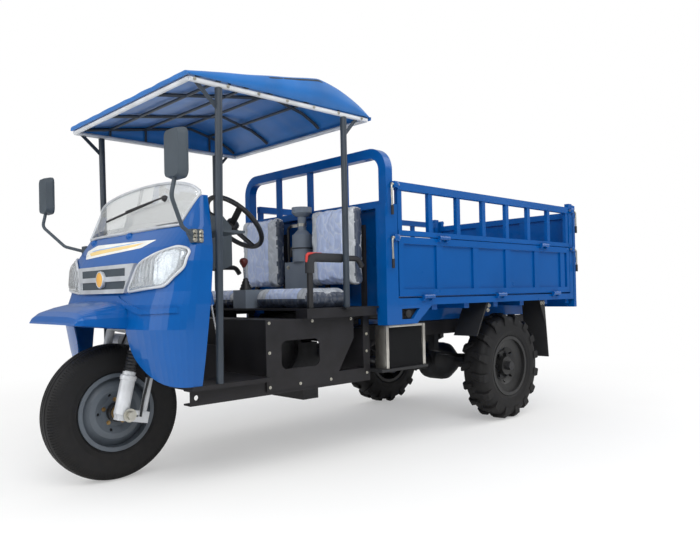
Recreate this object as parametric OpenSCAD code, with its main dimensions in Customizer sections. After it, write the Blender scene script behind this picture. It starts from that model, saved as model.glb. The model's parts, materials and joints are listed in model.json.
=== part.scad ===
// Dump tricycle with open cab, cloth canopy and tipping load bed.
// X runs forward, Y to the left and Z up. Places along X are first given from the rear axle,
// and place() then puts the origin on the ground at the middle of the overall length.

/* [Wheels] */
// Distance between the front and rear axles
wheelbase = 2530; // [2400:10:2700]
// Distance between the middles of the rear tyres
rear_track = 1130; // [1120:2:1160]
// Outer radius of the front tyre
front_tyre_r = 330; // [315:1:340]
// Width of the front tyre
front_tyre_w = 150; // [140:2:160]
// Radius of the front rim where the bead sits
front_rim_r = 176; // [165:1:185]
// Radius of the rear tyre at the tips of its lugs
rear_tyre_r = 363; // [345:1:370]
// Width of a rear tyre
rear_tyre_w = 188; // [176:2:196]
// Radius of a rear rim where the bead sits
rear_rim_r = 190; // [180:1:205]
// Lugs in each of a rear tyre's two rows
lug_count = 16; // [14:1:20]
// Depth of the lugs
lug_depth = 18; // [12:1:22]

/* [Fork] */
// Angle of the steering axis from upright
fork_rake = 13; // [11:0.5:15]
// Distance between the middles of the two fork legs
fork_span = 300; // [290:2:330]
// Radius of a fork leg
fork_leg_r = 27; // [22:1:30]

/* [Load bed] */
// Length of the load bed between headboard and rear posts
bed_len = 1965; // [1800:5:2100]
// Overall width of the load bed
bed_w = 1350; // [1330:5:1420]
// Height of the load bed's floor
bed_floor_z = 855; // [850:1:880]
// Thickness of the gates and of the bed's side rail
gate_t = 35; // [30:1:40]
// Height of the top of the drop gates
gate_top_z = 1200; // [1120:5:1260]
// Height of the top of the folding fences
fence_top_z = 1510; // [1420:5:1560]
// Bays between the uprights of a fence
fence_bays = 7; // [5:1:9]
// Height of the headboard's arch
headboard_top_z = 1700; // [1620:5:1760]
// Diameter of the headboard's arch tube
arch_tube_d = 55; // [40:1:60]
// Distance of the tip hinge from the bed's rear end
tip_hinge_in = 150; // [130:5:170]
// Height of the tip hinge
tip_hinge_z = 720; // [715:1:725]

/* [Cab] */
// Largest width of the cab fairing
cab_w = 1240; // [1200:5:1300]
// Roundness of the fairing in plan, from an ellipse at 2 towards a box
cab_round = 3.6; // [2.8:0.1:4.4]
// Thickness of the fairing's wall
cab_wall = 8; // [6:1:12]
// Half width of the opening over the front wheel
arch_half_w = 300; // [290:5:330]
// Reach of the beak in front of the front axle
beak_reach = 285; // [240:5:310]
// Height of the footboard
foot_z = 487; // [480:1:500]

/* [Canopy] */
// Distance of the canopy's front edge behind the front axle
canopy_in = 70; // [40:5:120]
// Length of the canopy
canopy_len = 1125; // [1080:5:1160]
// Width of the canopy
canopy_w = 1302; // [1290:2:1340]
// Height of the canopy's edge rails
canopy_rail_z = 1830; // [1780:5:1880]
// Height of the canopy's crown
canopy_crown_z = 1990; // [1960:5:2040]
// Thickness of the canopy cloth as it is sewn
canopy_t = 6; // [4:1:8]

/* [Seats] */
// Top of the seat base
seat_base_z = 810; // [800:1:820]
// Thickness of the seat cushions
cushion_t = 100; // [80:5:110]
// Height of the top of the seat backs
seat_back_top_z = 1390; // [1320:5:1430]
// Diameter of the steering wheel
steering_wheel_d = 400; // [360:5:420]

/* [Hidden] */
$fn = 48;

blue = "#0a5fb8";
tarp_blue = "#0b5496";
slate = "#2f3a45";
frame_black = "#25252b";
rim_grey = "#4a525c";
silver = "#a6aab2";
tyre_black = "#1d1e20";
fabric_grey = "#9aa3ad";

// Clearances: between a bead and its rim, of a running shaft, between seated pieces, round moving ones
bead_gap = 0.4;
run_gap = 0.05;
seat_gap = 0.3;
swing_gap = 6;

// The front half is drawn with its axle here, and a longer wheelbase moves it forward
front_axle = 2530;
front_shift = wheelbase - front_axle;

// Overall length: front of the front tyre to the back of the tailgate
bed_front = 1165 + front_shift;
rear_post_w = 50;
bed_rear = bed_front - bed_len - rear_post_w;
tip_hinge_x = bed_rear + tip_hinge_in;
tailgate_t = 38;
tailgate_back = bed_rear - 12 - tailgate_t;
front_end = wheelbase + front_tyre_r;
mid_x = (front_end + tailgate_back) / 2;

// Chassis levels and places
lower_rail_z = [395, foot_z - 20];
lower_rail_y = [500, 560];
upper_rail_z = [600, 690];
rail_mid = rear_track / 2 - 205;
upper_rail_y = [rail_mid - 30, rail_mid + 30];
riser_x = [1290, 1340];
nose_x = front_axle - 110;
cross_x = [2080, 2140];
neck_half = 50;
engine_bar_x = [1600, 1850];
engine_bar_z = [lower_rail_z[0] + 4, lower_rail_z[0] + 24];
seat_rear_x = 1270;
rail_end_x = tip_hinge_x - 20;
hinge_shaft_r = 20;
spring_w = 58;

// Rims: half width between the flanges, and a flange's height, thickness and the channel's wall
front_rim_half = 54;
front_flange = [13, 7, 7];
rear_rim_half = 68;
rear_flange = [14, 8, 8];

// Fork: a point on the steering axis at the height of the front axle, and the axle seen from it
fork_origin = [front_axle - 35, 0, front_tyre_r];
leg_x = 58;
axle_x = 35 * cos(fork_rake);
axle_z = -35 * sin(fork_rake);
axle_r = 15;
axle_stub_r = 30;
stem_r = 22;
crown_z = [385, 425];

// Load bed
bed_half = bed_w / 2;
bed_rail_z = [bed_floor_z - 48, bed_floor_z - 6];
beam_z = [bed_floor_z - 80, bed_floor_z - 19];
gusset_z = 702;
gate_front = bed_front - swing_gap - 4;
gate_rear = bed_rear + rear_post_w + swing_gap;
gate_axis_y = bed_half + 18;
gate_axis_z = bed_rail_z[1] + 7;
fence_axis_z = gate_top_z + 5;
hinge_pin_r = 6;
hinge_r = 12;
gate_hinge_x = [for (share = [0.12, 0.51, 0.88]) gate_front - share * (gate_front - gate_rear)];
fence_hinge_x = [for (share = [0.2, 0.8]) gate_front - share * (gate_front - gate_rear)];
tailgate_axis = [bed_rear - 30, 1512];
beam_w = 50;
beam_pitch = (bed_front - bed_rear - 20 - beam_w) / 6;

// Lift cylinder: its pin on the chassis and its eye on the bed, between two beams
lift_base = [800 + front_shift, 0, 530];
lift_eye = [bed_rear + 10 + 2.7 * beam_pitch + beam_w / 2, 0, 775];
lift_len = norm(lift_eye - lift_base);
lift_head = lift_len - 160;
lift_pin_r = 15;
lift_rod_r = 22;
lift_tilt = atan2(lift_base[0] - lift_eye[0], lift_eye[2] - lift_base[2]);

// Steering wheel
wheel_tilt = 45;
wheel_hub = [1800, 0, 1300];

// Sections of the cab fairing. Columns: height, rear edge, nose, half width
cab_half = cab_w / 2;
CAB = [
    [foot_z, 2386, 2536, cab_half - 14],
    [610, 2372, 2571, cab_half - 6],
    [740, 2358, 2600, cab_half - 2],
    [850, 2346, 2585, cab_half],
    [907, 2340, 2562, cab_half],
    [1041, 2330, 2546, cab_half],
    [1110, 2325, 2510, cab_half - 8],
    [1200, 2318, 2441, cab_half - 30],
    [1345, 2305, 2380, cab_half - 75],
    [1470, 2294, 2330, cab_half - 110]
];
dash_front = 2130;
screen_base_z = 1200;
screen_corner_z = 1345;
screen_top_z = 1450;
screen_base_half = cab_half - 125;
screen_top_half = cab_half - 80;
// Pressed crease across the face under the lamps. Columns: share of the half width, height
CREASE = [[0, 893], [0.3, 893], [0.34, 882], [0.54, 848], [0.66, 831], [0.96, 838]];

// Canopy posts, and the seats that fit between them
canopy_front = front_axle - canopy_in;
canopy_rear = canopy_front - canopy_len;
post_r = 17;
post_y = canopy_w / 2 - canopy_t - post_r - seat_gap;
post_front = [canopy_front - 170, post_y - 33, foot_z + 2 * seat_gap + 0.2];
post_rear = [canopy_rear + 188, post_y, seat_base_z + seat_gap];
armrest_y = post_y - 36;
seat_outer = armrest_y - 32;
seat_base_half = armrest_y + 28;

// Puts places given from the rear axle into the part's frame
module place() {
    translate([-mid_x, 0, 0]) children();
}

// The same for the front half, which goes with the front axle
module place_front() {
    translate([front_shift - mid_x, 0, 0]) children();
}

module both_sides() {
    children();
    mirror([0, 1, 0]) children();
}

// A block between pairs of places along each axis
module block(x, y, z) {
    translate([x[0], y[0], z[0]]) cube([x[1] - x[0], y[1] - y[0], z[1] - z[0]]);
}

// A round bar between two points
module rod(from, to, r) {
    run = to - from;
    translate(from)
        rotate([0, acos(run[2] / norm(run)), atan2(run[1], run[0])])
            cylinder(r = r, h = norm(run));
}

function unit(v) = v / norm(v);

// A path with each inner corner turned into an arc
function rounded(path, bend, steps = 4) = concat(
    [path[0]],
    [for (i = [1 : len(path) - 2])
        let (
            back = unit(path[i - 1] - path[i]),
            ahead = unit(path[i + 1] - path[i]),
            half = acos(back * ahead) / 2,
            centre = path[i] + unit(back + ahead) * bend / sin(half),
            from = path[i] + back * bend / tan(half) - centre,
            to = path[i] + ahead * bend / tan(half) - centre,
            turn = 180 - 2 * half)
        for (k = [0 : steps]) let (a = turn * k / steps)
            centre + (from * sin(turn - a) + to * sin(a)) / sin(turn)],
    [path[len(path) - 1]]);

// A bent tube along a path that never runs along the side direction
module tube(path, r, side = [0, 1, 0], facets = 12) {
    last = len(path) - 1;
    loft([for (i = [0 : last])
        let (
            along = unit(path[min(i + 1, last)] - path[max(i - 1, 0)]),
            out = unit(cross(along, side)),
            up = cross(along, out))
        [for (k = [0 : facets - 1]) let (a = 360 * k / facets) path[i] + r * (cos(a) * out + sin(a) * up)]]);
}

// An outline in X and Z, as thick as a pair of places along Y
module side_plate(outline, y) {
    translate([0, y[1], 0]) rotate([90, 0, 0]) linear_extrude(height = y[1] - y[0]) polygon(outline);
}

// An outline in Y and Z, as thick as a pair of places along X
module front_plate(outline, x) {
    translate([x[0], 0, 0]) rotate([90, 0, 90]) linear_extrude(height = x[1] - x[0]) polygon(outline);
}

// A cylinder along Y through a place in X and Z
module cross_pin(x, z, y, r) {
    translate([x, y[1], z]) rotate([90, 0, 0]) cylinder(r = r, h = y[1] - y[0]);
}

// A cylinder along X through a place in Y and Z
module long_pin(y, z, x, r) {
    translate([x[0], y, z]) rotate([0, 90, 0]) cylinder(r = r, h = x[1] - x[0]);
}

function lerp(a, b, share) = a + (b - a) * share;
function signed_power(v, e) = sign(v) * pow(abs(v), e);

// A skin over rings of points that all have the same length, closed at both ends
module loft(rings) {
    n = len(rings[0]);
    last = len(rings) - 1;
    points = [for (ring = rings, p = ring) p];
    bottom = [[for (i = [0 : n - 1]) i]];
    top = [[for (i = [n - 1 : -1 : 0]) last * n + i]];
    sides = [for (j = [0 : last - 1], i = [0 : n - 1])
        let (k = (i + 1) % n)
        each [[j * n + i, (j + 1) * n + i, (j + 1) * n + k], [j * n + i, (j + 1) * n + k, j * n + k]]];
    polyhedron(points, concat(bottom, sides, top), convexity = 6);
}

// Wheels

// Half of a tyre's section from the middle of the tread to the bead, as [radius, offset].
// It leaves the rim at the flange's edge.
function tyre_side(r, w, bead_r, bead_w, flange_r, steps) =
    let (wide_r = bead_r + 0.5 * (r - bead_r))
    concat(
        [for (i = [0 : steps]) let (a = 90 * i / steps)
            [wide_r + (r - wide_r) * signed_power(cos(a), 0.62), w / 2 * signed_power(sin(a), 0.62)]],
        [for (i = [1 : steps]) let (a = 90 * i / steps)
            [wide_r - (wide_r - flange_r) * sin(a), bead_w / 2 + (w - bead_w) / 2 * cos(a)]],
        [[bead_r, bead_w / 2]]);

module tyre_ring(r, w, bead_r, bead_w, flange_r, steps) {
    half = tyre_side(r, w, bead_r, bead_w, flange_r, steps);
    mirrored = [for (i = [len(half) - 1 : -1 : 1]) [half[i][0], -half[i][1]]];
    rotate([90, 0, 0]) rotate_extrude() polygon(concat(mirrored, half));
}

module front_tyre() {
    flange_r = front_rim_r + front_flange[0] + 1;
    color(tyre_black) place_front() translate([front_axle, 0, front_tyre_r])
        tyre_ring(front_tyre_r, front_tyre_w, front_rim_r + bead_gap, 2 * (front_rim_half - bead_gap), flange_r, 7);
}

// Section of a pressed wheel: rim channel with flanges, dished disc and bored hub.
// flange holds its height, its thickness and the channel's wall.
function wheel_section(r, half, flange, dish, disc_t, hub, bore_r) =
    let (inside = r - flange[2], edge = half + flange[1], last = len(dish) - 1)
    concat(
        [[inside, -edge], [r + flange[0], -edge], [r + flange[0], -half], [r, -half],
            [r, half], [r + flange[0], half], [r + flange[0], edge], [inside, edge]],
        [for (i = [last : -1 : 0]) dish[i]],
        [[dish[0][0], hub[1]], [bore_r, hub[1]], [bore_r, hub[0]], [dish[0][0], hub[0]]],
        [for (i = [0 : last]) [dish[i][0], dish[i][1] - disc_t]]);

// Pressed steel wheel with five small holes
module front_rim() {
    hub_r = 44;
    dish = [[hub_r, 30], [hub_r + 26, 34], [104, 48], [130, 44], [front_rim_r - 7, 14]];
    color(rim_grey) place_front() translate([front_axle, 0, front_tyre_r]) difference() {
        rotate([-90, 0, 0]) rotate_extrude()
            polygon(wheel_section(
                front_rim_r, front_rim_half, front_flange, dish, 9, [-66, 66], axle_r + run_gap));
        for (i = [0 : 4]) rotate([0, 72 * i + 20, 0]) cross_pin(0, 88, [10, 60], 8);
    }
}

// Ring of the rear tyre with two staggered rows of slanted lugs
module rear_tyre(side) {
    carcass_r = rear_tyre_r - lug_depth;
    facets = 2 * lug_count;
    bead_r = (rear_rim_r + bead_gap) / cos(180 / facets);
    flange_r = (rear_rim_r + rear_flange[0] + 1) / cos(180 / facets);
    pitch = 360 / lug_count;
    half = rear_tyre_w / 2;
    // Stations of a lug from the middle outwards. Columns: offset, inner and outer radius, lead, width
    lug = [
        [6, carcass_r - 12, rear_tyre_r, 0, 34],
        [half - 26, carcass_r - 16, rear_tyre_r - 5, 20, 46],
        [half - 4, carcass_r - 62, rear_tyre_r - 26, 24, 52]
    ];
    color(tyre_black) place() translate([0, side * rear_track / 2, rear_tyre_r]) {
        tyre_ring(
            carcass_r, rear_tyre_w - 10, bead_r, 2 * (rear_rim_half - bead_gap), flange_r, 3, $fn = facets);
        for (row = [-1, 1], i = [0 : lug_count - 1])
            rotate([0, pitch * (i + row / 4), 0]) hull() for (s = lug)
                translate([side * s[3] - s[4] / 2, row * s[0] - 2, s[1]]) cube([s[4], 4, s[2] - s[1]]);
    }
}

module rear_rim(side) {
    hub_r = 62;
    dish = [[hub_r, 6], [96, 10], [128, 36], [rear_rim_r - 8, 52]];
    color(tyre_black) place() translate([0, side * rear_track / 2, rear_tyre_r])
        rotate([-90 * side, 0, 0]) difference() {
            rotate_extrude()
                polygon(wheel_section(
                    rear_rim_r, rear_rim_half, rear_flange, dish, 10, [-60, 50], axle_stub_r + run_gap));
            for (i = [0 : 7]) rotate([0, 0, 45 * i]) translate([112, 0, -20]) cylinder(r = 9, h = 80);
        }
}

module rear_tyre_left() rear_tyre(1);
module rear_tyre_right() rear_tyre(-1);
module rear_rim_left() rear_rim(1);
module rear_rim_right() rear_rim(-1);

// Fork

module at_fork() {
    translate(fork_origin) rotate([0, -fork_rake, 0]) children();
}

// Crown plate and stem
module fork_yoke() {
    stem_top = 690;
    half = fork_span / 2 + 36;
    front = leg_x + fork_leg_r + 8;
    color(silver) place_front() at_fork() {
        translate([0, 0, crown_z[0]]) linear_extrude(height = crown_z[1] - crown_z[0]) polygon([
            [-60, -half + 50], [-20, -half], [front - 40, -half], [front, -half + 70],
            [front, half - 70], [front - 40, half], [-20, half], [-60, half - 50]]);
        translate([0, 0, crown_z[1] - 1]) cylinder(r = stem_r, h = stem_top - crown_z[1]);
    }
}

// Paired legs with their foot brackets and the axle between them
module fork_legs() {
    rear_tube_x = -50;
    foot_half = 26;
    color(silver) place_front() at_fork() {
        both_sides() {
            translate([leg_x, fork_span / 2, -14]) cylinder(r = fork_leg_r, h = 190);
            translate([leg_x, fork_span / 2, 150]) cylinder(r = fork_leg_r - 6, h = crown_z[0] - 150);
            translate([leg_x, fork_span / 2, 176]) cylinder(r = fork_leg_r + 3, h = 16);
            translate([rear_tube_x, fork_span / 2, -14]) cylinder(r = 17, h = crown_z[0] - 40 + 14);
            translate([rear_tube_x, fork_span / 2, crown_z[0] - 60]) cylinder(r = 12, h = 60);
            difference() {
                block([rear_tube_x - 24, leg_x + 22], [fork_span / 2 - 22, fork_span / 2 + 22], [-38, 16]);
                block([-20, axle_x - 30], [fork_span / 2 - 40, fork_span / 2 + 40], [-14, -4]);
            }
            cross_pin(axle_x, axle_z, [fork_span / 2 + 20, fork_span / 2 + 34], foot_half);
            cross_pin(axle_x, axle_z, [70, fork_span / 2 - 21], foot_half);
        }
        cross_pin(axle_x, axle_z, [-fork_span / 2 - 44, fork_span / 2 + 44], axle_r);
    }
}

// Chassis

// Neck from the front cross member up to the head tube, clear of the turning wheel
module neck() {
    side_plate([
        [cross_x[0], lower_rail_z[1] + seat_gap], [cross_x[1], lower_rail_z[1] + seat_gap], [2195, 640], [2285, 742],
        [2385, 800], [2355, 915], [2250, 890], [2130, 720], [cross_x[0], 570]], [-neck_half, neck_half]);
}

module head_tube() {
    at_fork() translate([0, 0, crown_z[1] + 12]) cylinder(r = 42, h = 205);
}

module chassis_frame() {
    color(frame_black) place() {
        both_sides() {
            block([rail_end_x, riser_x[0] + front_shift - seat_gap], upper_rail_y, upper_rail_z);
            // Tip hinge bracket
            side_plate([
                [rail_end_x, upper_rail_z[1] - 1], [tip_hinge_x + 90, upper_rail_z[1] - 1],
                [tip_hinge_x + 26, tip_hinge_z + 24], [rail_end_x, tip_hinge_z + 24]],
                [rail_mid - 15, rail_mid + 15]);
            // Clevis of the lift cylinder
            side_plate([
                [lift_base[0] - 30, lift_base[2] - 34], [lift_base[0] + 40, lift_base[2] - 34],
                [lift_base[0] + 140, 640], [lift_base[0] + 140, 679], [lift_base[0] + 80, 679],
                [lift_base[0] - 30, lift_base[2] + 24]],
                [44, 56]);
        }
        hinge_half = upper_rail_y[1] + 42;
        cross_pin(tip_hinge_x, tip_hinge_z, [-hinge_half, hinge_half], hinge_shaft_r);
        cross_pin(lift_base[0], lift_base[2], [-60, 60], lift_pin_r);
        // Cross members
        for (x = [rail_end_x + 220, lift_base[0] + 80])
            block([x, x + 60], [-upper_rail_y[0] - 1, upper_rail_y[0] + 1], [620, 680]);
    }
}

// Risers and lower rails under the cab, with the bars that carry the engine
module lower_frame() {
    tie_hole_r = 12;
    tie_x = nose_x - 30;
    tie_z = lower_rail_z[0] + 36;
    web = 8;
    x = [riser_x[1] + seat_gap, nose_x];
    color(frame_black) place_front() difference() {
        // Lower rails: an outer web with two flanges
        both_sides() {
            block(x, [lower_rail_y[1] - web, lower_rail_y[1]], lower_rail_z);
            for (z = [lower_rail_z[0], lower_rail_z[1] - web])
                block(x, lower_rail_y, [z, z + web]);
        }
        both_sides() cross_pin(tie_x, tie_z, [lower_rail_y[0] - 20, lower_rail_y[1] + 20], tie_hole_r);
    }
}

// Risers between the two levels of the frame, and the members between the lower rails
module frame_cross() {
    half = lower_rail_y[0] - seat_gap;
    color(frame_black) place_front() {
        both_sides() block(riser_x, [upper_rail_y[0], lower_rail_y[1]], [lower_rail_z[0], upper_rail_z[1]]);
        block(riser_x, [-upper_rail_y[0] - 1, upper_rail_y[0] + 1], upper_rail_z);
        block(cross_x, [-half, half], lower_rail_z);
        for (x = engine_bar_x)
            block([x, x + 50], [-half, half], engine_bar_z);
    }
}

// Neck on the front cross member, bored for the fork's stem
module steering_neck() {
    color(frame_black) place_front() difference() {
        union() {
            neck();
            head_tube();
        }
        at_fork() translate([0, 0, crown_z[1] - 100]) cylinder(r = stem_r + run_gap, h = 400);
    }
}

// Floor of the cab, open in the middle over the front wheel
module footboard() {
    half = cab_half - 10;
    tub_half = 385;
    color(frame_black) place_front() {
        difference() {
            block([2012, 2150], [-half, half], [lower_rail_z[1], foot_z]);
            block([2079, 2160], [-neck_half - seat_gap, neck_half + seat_gap], [lower_rail_z[0], foot_z + 1]);
        }
        both_sides() block([2149, nose_x + 10], [tub_half, half], [lower_rail_z[1], foot_z]);
        // Wall behind the wheel
        both_sides() block([2142, 2150], [neck_half + 30, tub_half], [foot_z - 1, 640]);
    }
}

// Steel plates at the sides of the engine bay, each with a large window
module side_plates() {
    y = [lower_rail_y[1] + seat_gap, lower_rail_y[1] + 8];
    top_z = seat_base_z - 50;
    color(frame_black) place_front() both_sides() difference() {
        side_plate([
            [1570, 412], [2010, 412], [2010, top_z], [1420, top_z], [1420, 640], [1500, 520]], y);
        hull() for (x = [1700, 1885], z = [545, 622]) cross_pin(x, z, [y[0] - 5, y[1] + 5], 32);
    }
}

// Horizontal single-cylinder engine: crankcase, cylinder, head, flywheel and gearbox
module engine() {
    fly_x = 1790;
    fly_z = 590;
    color(frame_black) place_front() {
        block([1560, 1930], [-230, 230], [engine_bar_z[1] + seat_gap, 735]);
        block([1929, 1965], [-130, 110], [500, 660]);
        // Gearbox and its sump
        block([1350, 1561], [-180, 180], [engine_bar_z[1] + seat_gap, 600]);
        block([1350, 1465], [-120, 180], [266, 440]);
        cross_pin(fly_x, fly_z, [229, 300], 60);
        difference() {
            cross_pin(fly_x, fly_z, [299, 390], 150);
            cross_pin(fly_x, fly_z, [360, 400], 124);
        }
        cross_pin(fly_x, fly_z, [355, 405], 48);
        long_pin(0, 480, [1130, 1351], 60);
    }
}

// Raised cover between the two seats
module centre_cover() {
    color(slate) place_front() {
        block([1395, 1775], [-62, 62], [seat_base_z, 915]);
        block([1290, 1340], [-130, 130], [seat_base_z, 1085]);
        block([1339, 1396], [-62, 62], [seat_base_z, 915]);
    }
}

// Seats

module seat_frame() {
    rail_h = 44;
    rail_in = min(lower_rail_y[1] - 30, seat_base_half - 90);
    top = seat_base_z;
    color(frame_black) place_front() {
        both_sides() {
            block([1290, 1790], [rail_in, seat_base_half], [top - rail_h - 6, top - 10]);
            // Stays of the seat backs
            for (y = [190, 500]) block([seat_rear_x, 1288], [y, y + 30], [top - 11, seat_back_top_z - 120]);
            // Legs to the chassis at the rear
            block([1292, 1338], [rail_in + 10, rail_in + 30], [upper_rail_z[1], top - 40]);
            // Seat of the canopy's rear post
            block([post_rear[0] - 28, post_rear[0] + 28], [seat_base_half - 20, post_y + 27], [top - 11, top]);
        }
        block([seat_rear_x, 1790], [-seat_base_half, seat_base_half], [top - 11, top]);
        block([1980, 1990], [-lower_rail_y[1], lower_rail_y[1]], [lower_rail_z[1] + seat_gap, top - 60]);
        block([1780, 1990], [-lower_rail_y[1], lower_rail_y[1]], [top - 61, top - 50]);
    }
}

module seat_cushion(side) {
    y = [72, seat_outer];
    color(fabric_grey) place_front()
        block([1405, 1750], side > 0 ? y : [-y[1], -y[0]], [seat_base_z + seat_gap, seat_base_z + cushion_t]);
}

module seat_back(side) {
    y = [150, seat_outer];
    color(fabric_grey) place_front()
        block([1288 + seat_gap, 1390], side > 0 ? y : [-y[1], -y[0]], [seat_base_z + cushion_t + 4, seat_back_top_z]);
}

module seat_cushion_left() seat_cushion(1);
module seat_cushion_right() seat_cushion(-1);
module seat_back_left() seat_back(1);
module seat_back_right() seat_back(-1);

// Padded tubes at the outer sides of the seats
module armrests() {
    y = armrest_y;
    color(frame_black) place_front() both_sides()
        tube(rounded([
            [1745, y, seat_base_z + seat_gap], [1745, y, 1072], [1400, y, 1072], [1370, y, 1030]], 45), 16);
}

module gear_lever() {
    base = [1730, 0, 915];
    color(frame_black) place_front() {
        translate(base) cylinder(r1 = 34, r2 = 14, h = 70);
        rod(base + [0, 0, 6], base + [10, 0, 150], 7);
        translate(base + [10, 0, 160]) sphere(r = 24);
    }
}

module pedals() {
    color(frame_black) place_front() for (y = [-190, -120]) {
        block([2112, 2142 - seat_gap], [y - 14, y + 14], [588, 622]);
        rod([2120, y, 605], [2060, y, 570], 7);
        block([2040, 2062], [y - 32, y + 32], [540, 605]);
    }
}

// Long lever of the parking brake on its bracket
module hand_brake() {
    pivot = [2034, 201, 590];
    knee = [2092, 214, 845];
    color(silver) place_front() {
        block([pivot[0] - 16, pivot[0] + 16], [pivot[1] - 10, pivot[1] + 10], [foot_z + seat_gap, pivot[2] + 20]);
        rod(pivot, knee, 6);
        rod(knee - [2, 0, 8], knee + [14, 3, 60], 14);
    }
}

// Oil-bath air cleaner between the seat backs
module air_cleaner() {
    color(frame_black) place_front() translate([1310, 10, 1085]) {
        cylinder(r = 62, h = 165);
        translate([0, 0, 164]) cylinder(r1 = 58, r2 = 30, h = 30);
        translate([0, 0, 193]) cylinder(r = 26, h = 90);
        translate([0, 0, 282]) cylinder(r1 = 40, r2 = 62, h = 20);
        translate([0, 0, 301]) cylinder(r = 62, h = 34);
        translate([0, 0, 70]) cylinder(r = 66, h = 22);
    }
}

// Cab

// One section of the fairing, from the right rear edge round the nose to the left one
function cab_ring(section, grow, tail) =
    let (steps = 28, depth = section[2] - section[1] + grow, half = section[3] + grow, power = 2 / cab_round)
    concat(
        tail > 0 ? [[section[1] - tail, -half, section[0]]] : [],
        [for (i = [0 : steps]) let (a = -90 + 180 * i / steps)
            [section[1] + depth * signed_power(cos(a), power), half * signed_power(sin(a), power), section[0]]],
        tail > 0 ? [[section[1] - tail, half, section[0]]] : []);

// Section at any height, between those of the table, and the last ones beyond it
function cab_at(z) =
    let (last = len(CAB) - 1, row = max(0, min(last - 1, len([for (s = CAB) if (s[0] <= z) s]) - 1)))
    let (share = (z - CAB[row][0]) / (CAB[row + 1][0] - CAB[row][0]), held = max(0, min(1, share)))
    [z, each [for (c = [1 : 3]) lerp(CAB[row][c], CAB[row + 1][c], held)]];

// Body inside the fairing's face over a range of heights, moved out by grow and run back by tail
module cab_body(grow, tail = 0, z = [CAB[0][0], CAB[len(CAB) - 1][0]]) {
    sections = concat([cab_at(z[0])], [for (s = CAB) if (s[0] > z[0] + 1 && s[0] < z[1] - 1) s], [cab_at(z[1])]);
    loft([for (s = sections) cab_ring(s, grow, tail)]);
}

// Outline of the windscreen seen from the front, made larger by grow
function screen_outline(grow) =
    let (steps = 16, top = screen_top_half + grow, rise = screen_top_z - screen_corner_z)
    concat(
        [[-screen_base_half - grow, screen_base_z - grow], [screen_base_half + grow, screen_base_z - grow]],
        [for (i = [0 : steps]) let (a = 180 * i / steps)
            [top * cos(a), screen_corner_z + grow + rise * pow(sin(a), 0.9)]]);

// Half outline of the wheel opening, widening from the beak down to the sill
function arch_outline() =
    let (steps = 10, spread = cab_half - 30 - arch_half_w, low = foot_z, high = 690)
    [for (i = [0 : steps]) let (a = 90 * i / steps)
        [arch_half_w + spread * (1 - sin(a)), low + (high - low) * (1 - cos(a))]];

// One section of the beak across the vehicle. Columns: place, half width, edge height, top height
function beak_ring(section, grow) =
    let (steps = 20)
    [for (i = [0 : steps]) let (a = 180 * i / steps)
        [section[0], (section[1] + grow) * signed_power(cos(a), 0.5),
            section[2] + (section[3] + grow - section[2]) * signed_power(sin(a), 0.5)]];

module beak() {
    tip = front_axle + beak_reach;
    root = front_axle + 10;
    sections = [
        [root, arch_half_w + 12, 742, 876],
        [root + 90, arch_half_w + 12, 748, 868],
        [tip - 90, arch_half_w + 8, 758, 846],
        [tip - 34, arch_half_w + 2, 764, 826],
        [tip - 10, arch_half_w - 6, 766, 804],
        [tip, arch_half_w - 14, 767, 778]
    ];
    hollow = [for (s = sections) [min(s[0], tip - cab_wall), s[1], s[2] - 20, s[3]]];
    difference() {
        loft([for (s = sections) beak_ring(s, 0)]);
        loft([for (i = [0 : 4]) beak_ring(hollow[i], -cab_wall)]);
        cab_body(-cab_wall / 2, 60, [700, 1000]);
    }
}

module cab_shell() {
    high = 740;
    arch = arch_outline();
    opening = concat(
        [for (p = arch) p], [[arch_half_w, high], [-arch_half_w, high]],
        [for (i = [len(arch) - 1 : -1 : 0]) [-arch[i][0], arch[i][1]]],
        [[-cab_half + 30, foot_z - 80], [cab_half - 30, foot_z - 80]]);
    color(blue) place_front() {
        difference() {
            cab_body(0);
            cab_body(-cab_wall, 60, [foot_z - 20, 1600]);
            front_plate(opening, [front_axle - 140, front_axle + 200]);
            front_plate(screen_outline(0), [front_axle - 300, front_axle + 200]);
            block([front_axle - 300, front_axle + 200], [-cab_half, cab_half], [screen_corner_z, 1600]);
        }
        beak();
        crease();
    }
}

module crease() {
    depth = 24;
    left = [for (c = CREASE) [c[0] * cab_half, c[1]]];
    right = [for (i = [len(left) - 1 : -1 : 1]) [-left[i][0], left[i][1]]];
    line = concat(right, left);
    under = [for (i = [len(line) - 1 : -1 : 0]) line[i] - [0, depth]];
    face_piece(concat(line, under), -cab_wall / 2, 7);
}

// Shelf under the windscreen, fitted inside the fairing
module cowl() {
    z = [1176, 1188];
    section = cab_at(z[1]);
    rim = cab_ring(section, -cab_wall - 1, section[1] - dash_front);
    color(slate) place_front() difference() {
        translate([0, 0, z[0]]) linear_extrude(height = z[1] - z[0]) polygon([for (p = rim) [p[0], p[1]]]);
        both_sides() canopy_post_front(post_r + 1);
    }
}

// A plate that follows the fairing's face, inside an outline seen from the front
module face_piece(outline, from, to) {
    heights = [for (p = outline) p[1]];
    z = [min(heights) - 5, max(heights) + 5];
    intersection() {
        difference() {
            cab_body(to, 0, z);
            cab_body(from, 1, [z[0] - 1, z[1] + 1]);
        }
        front_plate(outline, [front_axle - 200, front_axle + 200]);
    }
}

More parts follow.
